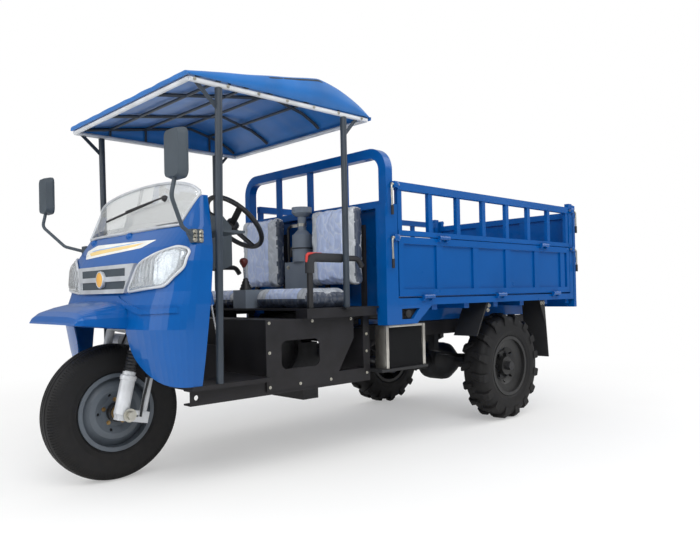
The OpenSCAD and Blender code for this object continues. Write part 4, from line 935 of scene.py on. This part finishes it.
class TRICYCLE_OT_rear_tyres(bpy.types.Operator):
    """Turns the two rear tyres and sets their bevelled lugs"""
    bl_idname = "tricycle.rear_tyres"
    bl_label = "Make the rear tyres"

    def execute(self, context):
        crown = [(crown_radius(mm / 1000, REAR_TYRE), mm / 1000) for mm in range(-88, 89, 4)]
        # The two rows of lugs stand half a pitch apart
        stagger = math.tau / LUG_COUNT / 4
        for name, side in SIDES:
            hub = at(0, side * HALF_TRACK, REAR_AXLE_Z)
            tyre = turned_tyre(f"rear_tyre_{name}_body", REAR_TYRE, crown, hub, f"rear_wheel_{name}")
            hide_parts(f"rear_tyre_{name}")
            for row in (1, -1):
                lug = self.lug_pattern(side, row)
                lugs = ring(wheel_ring_tree(), lug, LUG_COUNT, row * stagger, hub, "rubber")
                place = "outer" if row == side else "inner"
                placed(f"rear_lugs_{name}_{place}", lugs, "rubber", f"rear_wheel_{name}")
        return {"FINISHED"}

    def lug_pattern(self, side, row):
        """One lug that leans forwards from the middle of the tread to its edge."""
        bm = bmesh.new()
        rings = []
        for offset, inner, outer, lead, across in LUG:
            half = across / 2
            section = ((-half, inner), (-half, outer - LUG_BEVEL), (LUG_BEVEL - half, outer),
                       (half - LUG_BEVEL, outer), (half, outer - LUG_BEVEL), (half, inner))
            points = [Vector((side * lead + u, row * offset, v)) / 1000 for u, v in section]
            rings.append([bm.verts.new(point) for point in points])
        capped(bm, rings)
        return pattern(bm, "lug")


# Front face

# Outline of the left lamp, width and height in mm
LAMP = ((268, 908), (532, 930), (596, 1010), (598, 1090), (560, 1104), (440, 1072), (338, 1030))
# Reflector bowls. Columns: width, height, radius, depth
BOWLS = ((402, 985, 60, 11), (530, 1026, 52, 11))
DECAL = ((-384, 1136), (-284, 1162), (380, 1146), (286, 1112), (-322, 1088))


class TRICYCLE_OT_lamps(bpy.types.Operator):
    """Builds both headlamps: reflector bowls, lens and bright rim"""
    bl_idname = "tricycle.lamps"
    bl_label = "Make the headlamps"

    def execute(self, context):
        face = surface("cab_shell")

        def bowl_depth(y, z, share):
            dents = sum(d * math.exp(-((abs(y) - u) ** 2 + (z - v) ** 2) / r ** 2) for u, v, r, d in BOWLS)
            rib = 5 * math.exp(-((abs(y) - 468) / 5) ** 2)
            return 2 + (12 - dents + rib) * min(1, (1 - share) * 9)

        bowls, glass, rim = bmesh.new(), bmesh.new(), bmesh.new()
        for side in (1, -1):
            outline = loop([(side * y, z) for y, z in LAMP], 26, 14)
            patch(bowls, outline, lambda y, z, share: on_face(face, y, z, bowl_depth(y, z, share)), 16)
            patch(glass, outline, lambda y, z, share: on_face(face, y, z, 8 + 14 * (1 - share ** 5)), 10)
            edge = [on_face(face, *p, 8) for p in outline]
            sweep(rim, edge + edge[:1], 0.0065, 8)
        finished("lamp_reflectors", bowls, "reflector", "chassis", 60)
        lens = finished("lamp_lenses", glass, "lens", "chassis", 60)
        thick = lens.modifiers.new("Thickness", "SOLIDIFY")
        thick.thickness = 0.0025
        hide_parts("headlamps")
        finished("lamp_rims", rim, "trim", "chassis", 60)
        return {"FINISHED"}


class TRICYCLE_OT_face(bpy.types.Operator):
    """Fills the grille's slots with dark plates of painted shade and sets the blank badge, the plain decal
    and the washer jets
    """
    bl_idname = "tricycle.face"
    bl_label = "Dress the front face"

    def execute(self, context):
        face = surface("cab_shell")
        bm = bmesh.new()
        # Dark plates at the floor of the grille's slots: painted shade in the slot openings
        for low, high in ((925, 962), (985, 1022)):
            slab(bm, at(2566.2, -243, low + 0.5), at(2567.4, 243, high - 0.5))
        finished("grille_slots", bm, "plastic", "chassis")
        badge = at(2582, 0, 972.5)
        bm = bmesh.new()
        bezel = [(0.036, -0.006), (0.036, 0.002), (0.038, 0.003), (0.041, 0.001), (0.042, -0.006)]
        lathe(bm, bezel, badge, 64, "X")
        finished("badge_ring", bm, "trim", "chassis")
        bm = bmesh.new()
        lathe(bm, [(0.0002, 0.005), (0.012, 0.0047), (0.026, 0.0035), (0.037, 0.0004)], badge, 64, "X", False)
        finished("badge_face", bm, "badge", "chassis", 60)
        bm = bmesh.new()
        patch(bm, loop(DECAL, 12, 22), lambda y, z, share: on_face(face, y, z, 0.7), 6)
        finished("decal_white", bm, "white_vinyl", "chassis", 60)
        middle = sum((Vector(c) for c in DECAL), Vector((0, 0))) / len(DECAL)
        # Columns: piece, finish, rise in mm and share of the decal's height
        bands = (("decal_band", "yellow_vinyl", -5, 0.36), ("decal_line", "sky_vinyl", 9, 0.1))
        wide, slope = 0.78, 0.018
        for name, finish, rise, tall in bands:
            corners = [(middle.x + (y - middle.x) * wide, middle.y + rise + (z - middle.y) * tall + y * slope)
                       for y, z in DECAL]
            bm = bmesh.new()
            patch(bm, loop(corners, 4, 22), lambda y, z, share: on_face(face, y, z, 1.1), 4)
            finished(name, bm, finish, "chassis", 60)
        bm = bmesh.new()
        for y, z in ((-382, 1182), (50, 1187)):
            sweep(bm, [on_face(face, y, z, p) for p in (-2, 5, 11, 14)], [0.020, 0.018, 0.013, 0.006], 16)
        finished("washer_jets", bm, "blue", "chassis", 50)
        return {"FINISHED"}


class TRICYCLE_OT_screen(bpy.types.Operator):
    """Frames the windscreen, lays its wiper and silvers the mirrors"""
    bl_idname = "tricycle.screen"
    bl_label = "Dress the screen and mirrors"

    def execute(self, context):
        sheet = surface("windscreen")
        turns = [math.pi * k / 36 for k in range(37)]
        arc = [(533 * math.cos(a), 1345 + 98 * math.sin(a) ** 0.9) for a in turns]
        base = [(y, 1207) for y in range(-486, 487, 54)]
        edge = [on_face(sheet, y, z, 4) for y, z in base + arc]
        bm = bmesh.new()
        sweep(bm, edge + edge[:1], 0.007, 8)
        finished("screen_trim", bm, "trim", "chassis", 60)
        bm = bmesh.new()
        blade = [(-317 + 480 * k / 8, 1293 + 55 * k / 8) for k in range(9)]
        sweep(bm, [on_face(sheet, y, z, 6) for y, z in blade], 0.006, 8)
        arm = [(-80 + 362 * k / 8, 1320 + 32 * k / 8) for k in range(9)]
        sweep(bm, [on_face(sheet, y, z, 15) for y, z in arm], 0.005, 8)
        sweep(bm, [on_face(sheet, 284, 1352, p) for p in (0, 12, 20)], [0.016, 0.015, 0.008], 14)
        finished("wiper", bm, "black", "chassis", 50)
        bm = bmesh.new()
        for side in (1, -1):
            corners = [(side * (735 + y), 1470 + z) for y, z in ((-54, -94), (54, -94), (54, 94), (-54, 94))]
            patch(bm, loop(corners, 26), lambda y, z, share: at(2545.4, y, z), 3)
        finished("mirror_glass", bm, "mirror", "chassis", 60)
        return {"FINISHED"}


# Running gear and fittings


def at_fork(x, y, z):
    """A place measured along the fork's lean, from the crossing of its axis with the axle's height."""
    lean = math.radians(FORK_RAKE)
    along = x * math.cos(lean) - z * math.sin(lean)
    up = x * math.sin(lean) + z * math.cos(lean)
    return at(FORK_FOOT_X + along, y, FRONT_AXLE[2] + up)


def round_places(count, radius, centre, start=0.0):
    """Places in mm, along and up, spread round a hub."""
    for k in range(count):
        a = start + math.tau * k / count
        yield centre[0] + radius * math.cos(a), centre[1] + radius * math.sin(a)


def both_faces(y, places):
    """Bolt places on both sides of the vehicle at a width, from pairs of length and height."""
    return [(at(x, side * y, z), (0, side, 0)) for side in (1, -1) for x, z in places]


class TRICYCLE_OT_wheels(bpy.types.Operator):
    """Sets the wheel nuts, the front brake drum and the hub rings"""
    bl_idname = "tricycle.wheels"
    bl_label = "Dress the wheels"

    def execute(self, context):
        axle_x, _, axle_z = FRONT_AXLE
        hub = at(*FRONT_AXLE)
        nuts = [(at(x, 35, z), (0, 1, 0)) for x, z in round_places(5, 60, (axle_x, axle_z), 0.3)]
        bolts("front_wheel_nuts", nuts, "front_wheel", "brass", 0.011)
        bm = bmesh.new()
        drum = ((0.046, 0.022), (0.098, 0.028), (0.100, 0.020), (0.100, -0.030), (0.046, -0.030))
        lathe(bm, drum, hub, 64)
        finished("front_brake_drum", bm, "iron", "front_wheel", 40)
        bm = bmesh.new()
        lathe(bm, ((0.028, 0.036), (0.046, 0.036), (0.046, 0.0665), (0.028, 0.0665)), hub, 48)
        finished("front_hub_cap", bm, "black", "front_wheel", 40)
        bm = bmesh.new()
        washer = ((0.027, 0.0668), (0.027, 0.070), (0.035, 0.070), (0.035, 0.0668))
        for side in (1, -1):
            lathe(bm, [(r, side * y) for r, y in washer], hub, 48)
        finished("front_hub_rings", bm, "brass", "front_wheel")
        for name, side in SIDES:
            places = round_places(6, 80, (0, REAR_AXLE_Z))
            nuts = [(at(x, side * (HALF_TRACK + 10), z), (0, side, 0)) for x, z in places]
            bolts(f"rear_wheel_nuts_{name}", nuts, f"rear_wheel_{name}", "spring", 0.021)
        return {"FINISHED"}


class TRICYCLE_OT_fork(bpy.types.Operator):
    """Sets the fork's nuts, clamps, sleeves and hoses, and the horn beside it"""
    bl_idname = "tricycle.fork"
    bl_label = "Dress the fork"

    def execute(self, context):
        axle_x, _, axle_z = FRONT_AXLE
        nuts = both_faces(195, [(axle_x, axle_z)])
        bolts("axle_nuts", nuts, "fork", "zinc", 0.034)
        # Columns: height and radius along a leg, in mm and metres
        red_ring = ((212, 0.019), (214, 0.023), (230, 0.023), (232, 0.019))
        clamp = ((176, 0.019), (178, 0.024), (208, 0.024), (210, 0.019))
        bellows = [(z, 0.029 if k % 2 else 0.025) for k, z in enumerate(range(196, 300, 8))]
        sleeve = ((-12, 0.030), (-8, 0.034), (150, 0.034), (154, 0.038), (172, 0.038), (176, 0.034))
        hose = ((-30, 176, -10), (-22, 182, 60), (-34, 178, 190), (-26, 172, 330), (-30, 150, 384))
        front_leg, rear_tube = 58, -50
        red, black, shell = bmesh.new(), bmesh.new(), bmesh.new()
        for side in (1, -1):
            y = side * FORK_LEG_Y
            for bm, x, turned, sides in ((red, rear_tube, red_ring, 20), (black, rear_tube, clamp, 20),
                                         (black, front_leg, bellows, 20), (shell, front_leg, sleeve, 24)):
                sweep(bm, [at_fork(x, y, z) for z, _ in turned], [r for _, r in turned], sides)
            sweep(black, bend([at_fork(x, side * y, z) for x, y, z in hose], 0.05), 0.006, 8)
        finished("fork_rings", red, "red_paint", "fork", 50)
        finished("fork_clamps", black, "black", "fork", 50)
        finished("fork_sleeves", shell, "silver", "fork", 40)
        bm = bmesh.new()
        horn = ((0.008, -0.385), (0.034, -0.385), (0.042, -0.372), (0.042, -0.262), (0.036, -0.245),
                (0.008, -0.245))
        lathe(bm, horn, at(2350, 0, 648), 40)
        sweep(bm, [at(2310, -330, 640), at(2240, -330, 636), at(2146, -330, 620)], 0.007, 8)
        finished("horn", bm, "silver", "chassis", 40)
        return {"FINISHED"}


class TRICYCLE_OT_radiator(bpy.types.Operator):
    """Sets the radiator's fins between pale tanks and runs its hoses to the engine"""
    bl_idname = "tricycle.radiator"
    bl_label = "Dress the radiator"

    def execute(self, context):
        pitch = context.scene.tricycle_sizes.fin_pitch
        bm = bmesh.new()
        slab(bm, Vector((-0.0007, -0.004, -0.114)), Vector((0.0007, 0.004, 0.114)))
        fins = grown(row_tree(), {
            "Piece": pattern(bm, "fin"), "Count": int(0.282 / pitch), "First": at(934, 636, 571),
            "Step": (pitch, 0, 0), "Material": FINISHES["fins"]})
        placed("radiator_fins", fins, "fins", "chassis")
        bm = bmesh.new()
        for x in (904.4, 1218.4):
            slab(bm, at(x, 559.4, 454.6), at(x + 27.2, 645.6, 700.6), 0.004)
        slab(bm, at(931, 559.4, 685.4), at(1219, 645.6, 700.6), 0.003)
        sweep(bm, [at(1040, 602, z) for z in (699, 712, 716, 722)], [0.016, 0.016, 0.024, 0.022], 20)
        finished("radiator_tanks", bm, "aluminium", "chassis")
        bm = bmesh.new()
        upper = ((1170, 600, 690), (1170, 596, 742), (1300, 430, 752), (1480, 330, 745), (1560, 215, 700))
        lower = ((1205, 566, 480), (1262, 480, 500), (1262, 300, 520), (1345, 190, 520))
        for path in (upper, lower):
            sweep(bm, bend([at(*p) for p in path], 0.07, 7), 0.015, 12)
        finished("coolant_hoses", bm, "black", "chassis", 50)
        return {"FINISHED"}


class TRICYCLE_OT_dials(bpy.types.Operator):
    """Sets the two dials with their ticks and needles, and the horn button"""
    bl_idname = "tricycle.dials"
    bl_label = "Set the dials"

    def execute(self, context):
        bm = bmesh.new()
        slab(bm, Vector((-0.001, -0.0006, 0.028)), Vector((0.001, 0.0006, 0.036)))
        tick = pattern(bm, "tick")
        for name, y in (("speed", 105), ("charge", -105)):
            centre = at(2009.8, y, 1150)
            bm = bmesh.new()
            lathe(bm, [(0.040, 0.001), (0.042, -0.008), (0.047, -0.008), (0.050, 0.001)], centre, 48, "X")
            finished(f"dial_rim_{name}", bm, "trim", "chassis")
            bm = bmesh.new()
            lathe(bm, [(0.0002, -0.0012), (0.041, -0.0012), (0.041, 0.001)], centre, 48, "X", False)
            finished(f"dial_face_{name}", bm, "black", "chassis")
            marks = ring(wheel_ring_tree(), tick, 24, 0.0, (0, 0, 0), "white_vinyl")
            to_face = Matrix.Translation(centre + Vector((-0.002, 0, 0)))
            marks.transform(to_face @ Matrix.Rotation(math.pi / 2, 4, "Z"))
            placed(f"dial_ticks_{name}", marks, "white_vinyl", "chassis")
            bm = bmesh.new()
            root = centre + Vector((-0.003, 0, 0))
            sweep(bm, [root, root + Vector((0, 0.016, 0.024))], [0.0022, 0.0008], 8)
            finished(f"dial_needle_{name}", bm, "amber", "chassis")
        hub, out = at(1800, 0, 1300), Vector((-1, 0, 1)).normalized()
        bm = bmesh.new()
        sweep(bm, [hub + out * d for d in (-0.010, -0.002, 0.003, 0.006)], [0.037, 0.036, 0.030, 0.012], 32)
        finished("horn_button", bm, "plastic", "steering_wheel", 50)
        return {"FINISHED"}


class TRICYCLE_OT_levers(bpy.types.Operator):
    """Sets the gear lever's boot, rod and knob, and the brake lever's grip"""
    bl_idname = "tricycle.levers"
    bl_label = "Set the levers"

    def execute(self, context):
        base = at(1730, 0, 915)
        bm = bmesh.new()
        boot = [(0.034 - 0.0032 * k + (0.004 if k % 2 else 0.0), 0.009 * k) for k in range(8)]
        lathe(bm, [*boot, (0.007, 0.070), (0.007, 0.0)], base, 40, "Z")
        lever = finished("lever_boot", bm, "black", "chassis", 60)
        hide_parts("gear_lever")
        bm = bmesh.new()
        sweep(bm, [base + Vector((0, 0, 0.01)), base + Vector((0.010, 0, 0.150))], 0.007, 12)
        finished("lever_rod", bm, "bright", "chassis")
        bm = bmesh.new()
        # Columns: height over the boot's foot and radius
        knob = ((0.128, 0.009), (0.138, 0.013), (0.150, 0.021), (0.164, 0.025), (0.176, 0.022),
                (0.183, 0.013), (0.185, 0.003))
        sweep(bm, [base + Vector((0.010, 0, z)) for z, _ in knob], [r for _, r in knob], 24)
        finished("lever_knob", bm, "knob", "chassis", 60)
        knee = Vector((2092, 214, 845))
        grip = [knee + Vector((-2, 0, -10)).lerp(Vector((14.5, 3, 62)), k / 8) for k in range(9)]
        ribs = [0.0157 if k % 2 else 0.0150 for k in range(2, 7)]
        bm = bmesh.new()
        sweep(bm, [at(*p) for p in grip], [0.0125, 0.0155, *ribs, 0.0155, 0.010], 20)
        finished("brake_grip", bm, "grip", "chassis", 50)
        return {"FINISHED"}


class TRICYCLE_OT_cabin(bpy.types.Operator):
    """Sets the armrests' foam sleeves and the air cleaner's band, clamp and hoses"""
    bl_idname = "tricycle.cabin"
    bl_label = "Dress the cabin"

    def execute(self, context):
        x, z, proud = ARMREST_X, ARMREST_Z, 18.5
        foam, stripe = bmesh.new(), bmesh.new()
        for side in (1, -1):
            y = side * ARMREST_Y
            sweep(foam, bend([at(x, y, 990), at(x, y, z), at(1524, y, z)], 0.045), 0.024, 20)
            edge = [at(x + proud, y, 1046), at(x + proud, y, z + proud), at(1664, y, z + proud)]
            sweep(stripe, bend(edge, 0.055), 0.0075, 12)
        finished("armrest_sleeves", foam, "foam", "chassis", 50)
        finished("armrest_stripes", stripe, "stripe", "chassis", 50)
        cleaner = at(*CLEANER)
        bm = bmesh.new()
        lathe(bm, [(0.0655, 0.077), (0.068, 0.077), (0.068, 0.085), (0.0655, 0.085)], cleaner, 64, "Z")
        sweep(bm, [cleaner + Vector((0.050, -0.048, z)) for z in (0.030, 0.034, 0.088, 0.092)],
              [0.003, 0.006, 0.006, 0.003], 10)
        breather = [at(1310, -92, 1313), at(1310, -128, 1304), at(1306, -132, 1200), at(1302, -130, 1060)]
        sweep(bm, bend(breather, 0.05), 0.009, 12)
        finished("cleaner_band", bm, "black", "chassis", 50)
        bm = bmesh.new()
        lathe(bm, [(0.0255, 0.219), (0.029, 0.219), (0.029, 0.237), (0.0255, 0.237)], cleaner, 48, "Z")
        slab(bm, at(1307, -108, 1304), at(1311, -16, 1322), 0.001)
        finished("cleaner_clamp", bm, "zinc", "chassis")
        bm = bmesh.new()
        intake = [at(1300, 0, 845), at(1300, -5, 770), at(1400, -20, 760), at(1590, -40, 738)]
        sweep(bm, bend(intake, 0.09, 8), 0.034, 18)
        finished("intake_hose", bm, "flap", "chassis", 50)
        return {"FINISHED"}


class TRICYCLE_OT_latches(bpy.types.Operator):
    """Sets the bed's latches with their hanging levers, and its rubber buffers"""
    bl_idname = "tricycle.latches"
    bl_label = "Set the latches"

    def execute(self, context):
        sleeves, steel, ends = bmesh.new(), bmesh.new(), bmesh.new()
        for side in (1, -1):
            inner, outer = sorted((side * 674, side * 699))
            y, y_lever = side * 687, side * 698
            for x, out in ((1168, 1), (-806, -1)):
                low, high = sorted((x, x + out * 40))
                x_lever = x + out * 60
                for z in (1190, 1488):
                    slab(sleeves, at(low, inner, z - 18), at(high, outer, z + 18), 0.004)
                    sweep(steel, [at(x - out * 5, y, z), at(x + out * 56, y, z)], 0.009, 12)
                    hang = [at(x + out * 52, y, z), at(x + out * 62, side * 696, z - 12),
                            at(x_lever, y_lever, z - 165)]
                    sweep(steel, bend(hang, 0.02), 0.006, 10)
                    sweep(ends, [at(x_lever, y_lever, z - 120), at(x_lever, y_lever, z - 172)], 0.0085, 10)
        finished("latch_sleeves", sleeves, "blue", "bed")
        finished("latch_bolts", steel, "zinc", "bed", 50)
        finished("latch_ends", ends, "black", "bed", 50)
        bm = bmesh.new()
        for side in (1, -1):
            inner, outer = sorted((side * 646, side * 653))
            slab(bm, at(990, inner, 729), at(1136, outer, 791), 0.002)
            sweep(bm, [at(1085, side * y, 760) for y in (652, 664, 668, 677, 680)],
                  [0.010, 0.010, 0.022, 0.022, 0.016], 20)
        finished("bed_buffers", bm, "flap", "bed", 40)
        return {"FINISHED"}


class TRICYCLE_OT_bolts(bpy.types.Operator):
    """Sets the bolt heads on the mirrors, the plates, the mudguards, the canopy and the cover"""
    bl_idname = "tricycle.bolts"
    bl_label = "Set the bolts"

    def execute(self, context):
        mirror = [(x, z) for x in (2381, 2412) for z in (1133, 1150, 1167)]
        bolts("mirror_bolts", both_faces(610.5, mirror), "chassis", "zinc", 0.012)
        plate = ((1592, 432), (1800, 432), (1990, 432), (1990, 600), (1990, 745), (1440, 745), (1715, 745))
        riser = [(1315, z) for z in (440, 560, 655)]
        bolts("plate_bolts", both_faces(568.5, plate) + both_faces(560.5, riser), "chassis", "zinc", 0.0085)
        guard = ((-430, 785), (-400, 785), (262, 785), (274, 755))
        bolts("guard_bolts", both_faces(655.5, guard), "bed")
        rail = [(x, 1830) for x in range(1400, 2440, 170)]
        front = [(at(2440, y, 1830), (1, 0, 0)) for y in range(-560, 561, 187)]
        bolts("canopy_screws", both_faces(645, rail) + front, "chassis", "zinc", 0.009)
        bolts("cover_bolts", [(at(1340.5, y, 1052), (1, 0, 0)) for y in (-95, 95)], "chassis")
        return {"FINISHED"}


# Stage

# The photograph's camera: turn in degrees, place in metres, frame and lens in mm, shift as a share
CAMERA_TURN, CAMERA_PLACE = (45.866, 0.374, -1.155), (2.938, 3.170, 0.883)
CAMERA_FRAME, CAMERA_LENS, CAMERA_SHIFT = 36, 33.88, (-0.0089, 0.0128)
# Columns: name, place, size and power in watts
STUDIO_LAMPS = (
    ("key_lamp", (3.2, 4.6, 4.6), 5.0, 185),
    ("front_lamp", (5.5, -0.5, 2.6), 4.0, 70),
    ("rear_lamp", (-4.5, 2.5, 4.0), 4.0, 80),
)
LAMP_AIM = Vector((0.3, 0, 0.9))


class TRICYCLE_OT_stage(bpy.types.Operator):
    """Sets the floor, the lamps and the camera at the photograph's place"""
    bl_idname = "tricycle.stage"
    bl_label = "Set the stage"

    def execute(self, context):
        scene = context.scene
        scene.view_settings.view_transform = "Standard"
        bm = bmesh.new()
        bmesh.ops.create_grid(bm, x_segments=1, y_segments=1, size=30)
        mesh = bpy.data.meshes.new("studio_floor")
        bm.to_mesh(mesh)
        bm.free()
        floor = bpy.data.objects.new("studio_floor", mesh)
        scene.collection.objects.link(floor)
        # Painted studio floor: pale, matt, with the faintest mottling
        material, tree, shader, place = start("Pale studio floor", scene.tricycle_colours.floor, 0.9)
        shaded(tree, shader, place, tuple(scene.tricycle_colours.floor), 900, 0.97, 1.0)
        # Fades to white with distance where the camera sees it, so that no horizon shows
        far = add(tree, "ShaderNodeVectorMath", links={0: place}, operation="LENGTH")
        fade = add(tree, "ShaderNodeMapRange", {"From Min": 1.6, "From Max": 5.0, "To Min": 0.35},
                   {"Value": far.outputs["Value"]}, interpolation_type="SMOOTHSTEP")
        path = add(tree, "ShaderNodeLightPath")
        seen = add(tree, "ShaderNodeMath", links={0: fade.outputs[0], 1: path.outputs["Is Camera Ray"]},
                   operation="MULTIPLY")
        white = add(tree, "ShaderNodeEmission", {"Color": (1, 1, 1, 1)})
        output = tree.nodes["Material Output"]
        add(tree, "ShaderNodeMixShader", into=output.inputs["Surface"], links={
            0: seen.outputs[0], 1: shader.outputs[0], 2: white.outputs[0]})
        mesh.materials.append(material)
        self.light_world(scene)
        for lamp in STUDIO_LAMPS:
            self.hang_lamp(scene, *lamp)
        self.aim_camera(scene)
        return {"FINISHED"}

    def light_world(self, scene):
        """A pale sky: white where the camera or a clear sheet shows it, and brighter overhead as light."""
        world = bpy.data.worlds.new("Studio sky")
        world.use_nodes = True
        tree = world.node_tree
        sky = tree.nodes["Background"]
        sky.inputs["Color"].default_value = (1, 1, 1, 1)
        path = add(tree, "ShaderNodeLightPath")
        seen = add(tree, "ShaderNodeMath", links={
            0: path.outputs["Is Camera Ray"], 1: path.outputs["Is Transmission Ray"]}, operation="MAXIMUM")
        place = add(tree, "ShaderNodeTexCoord")
        split = add(tree, "ShaderNodeSeparateXYZ", links={0: place.outputs["Generated"]})
        above = add(tree, "ShaderNodeMapRange",
                    {"From Min": -0.05, "From Max": 0.75, "To Min": 0.16, "To Max": 0.85},
                    {"Value": split.outputs["Z"]}, interpolation_type="SMOOTHSTEP")
        add(tree, "ShaderNodeMath", links={0: seen.outputs[0], 1: above.outputs[0]},
            into=sky.inputs["Strength"], operation="MAXIMUM")
        scene.world = world

    def hang_lamp(self, scene, name, place, size, power):
        """Hangs a soft round lamp that faces the vehicle."""
        lamp = bpy.data.lights.new(name, "AREA")
        lamp.shape, lamp.size, lamp.energy = "DISK", size, power
        holder = bpy.data.objects.new(name, lamp)
        holder.location = place
        holder.rotation_euler = (LAMP_AIM - Vector(place)).to_track_quat("-Z", "Y").to_euler()
        scene.collection.objects.link(holder)

    def aim_camera(self, scene):
        """Sets the camera at the photograph's place and angle."""
        yaw, pitch, roll = (math.radians(a) for a in CAMERA_TURN)
        level = Vector((-math.cos(yaw), -math.sin(yaw), 0))
        side, up = Vector((-math.sin(yaw), math.cos(yaw), 0)), Vector((0, 0, 1))
        ahead = level * math.cos(pitch) + up * math.sin(pitch)
        over = up * math.cos(pitch) - level * math.sin(pitch)
        right = side * math.cos(roll) + over * math.sin(roll)
        top = over * math.cos(roll) - side * math.sin(roll)
        lens = bpy.data.cameras.new("photo_camera")
        lens.sensor_width, lens.lens = CAMERA_FRAME, CAMERA_LENS
        lens.shift_x, lens.shift_y = CAMERA_SHIFT
        camera = bpy.data.objects.new("photo_camera", lens)
        turn = Matrix((right, top, -ahead)).transposed().to_4x4()
        camera.matrix_world = Matrix.Translation(CAMERA_PLACE) @ turn
        scene.collection.objects.link(camera)
        scene.camera = camera


GROUPS = (TricycleColours, TricycleSizes)
OPERATORS = (
    TRICYCLE_OT_finishes,
    TRICYCLE_OT_seats,
    TRICYCLE_OT_canopy,
    TRICYCLE_OT_front_tyre,
    TRICYCLE_OT_rear_tyres,
    TRICYCLE_OT_lamps,
    TRICYCLE_OT_face,
    TRICYCLE_OT_screen,
    TRICYCLE_OT_wheels,
    TRICYCLE_OT_fork,
    TRICYCLE_OT_radiator,
    TRICYCLE_OT_dials,
    TRICYCLE_OT_levers,
    TRICYCLE_OT_cabin,
    TRICYCLE_OT_latches,
    TRICYCLE_OT_bolts,
    TRICYCLE_OT_stage,
)


class TRICYCLE_PT_dressing(bpy.types.Panel):
    """Lists the tricycle's colours, sizes and pieces"""
    bl_idname = "TRICYCLE_PT_dressing"
    bl_label = "Dump tricycle"
    bl_space_type = "VIEW_3D"
    bl_region_type = "UI"
    bl_category = "Tricycle"

    def draw(self, context):
        for group in (context.scene.tricycle_colours, context.scene.tricycle_sizes):
            box = self.layout.box()
            for key in group.bl_rna.properties.keys():
                if key not in ("rna_type", "name"):
                    box.prop(group, key)
        for operator in OPERATORS:
            self.layout.operator(operator.bl_idname)


def register():
    for cls in (*GROUPS, *OPERATORS, TRICYCLE_PT_dressing):
        bpy.utils.register_class(cls)
    bpy.types.Scene.tricycle_colours = bpy.props.PointerProperty(type=TricycleColours)
    bpy.types.Scene.tricycle_sizes = bpy.props.PointerProperty(type=TricycleSizes)


def unregister():
    del bpy.types.Scene.tricycle_sizes
    del bpy.types.Scene.tricycle_colours
    for cls in reversed((*GROUPS, *OPERATORS, TRICYCLE_PT_dressing)):
        bpy.utils.unregister_class(cls)


def main():
    register()
    for operator in OPERATORS:
        getattr(bpy.ops.tricycle, operator.bl_idname.split(".")[1])()


if __name__ == "__main__":
    main()
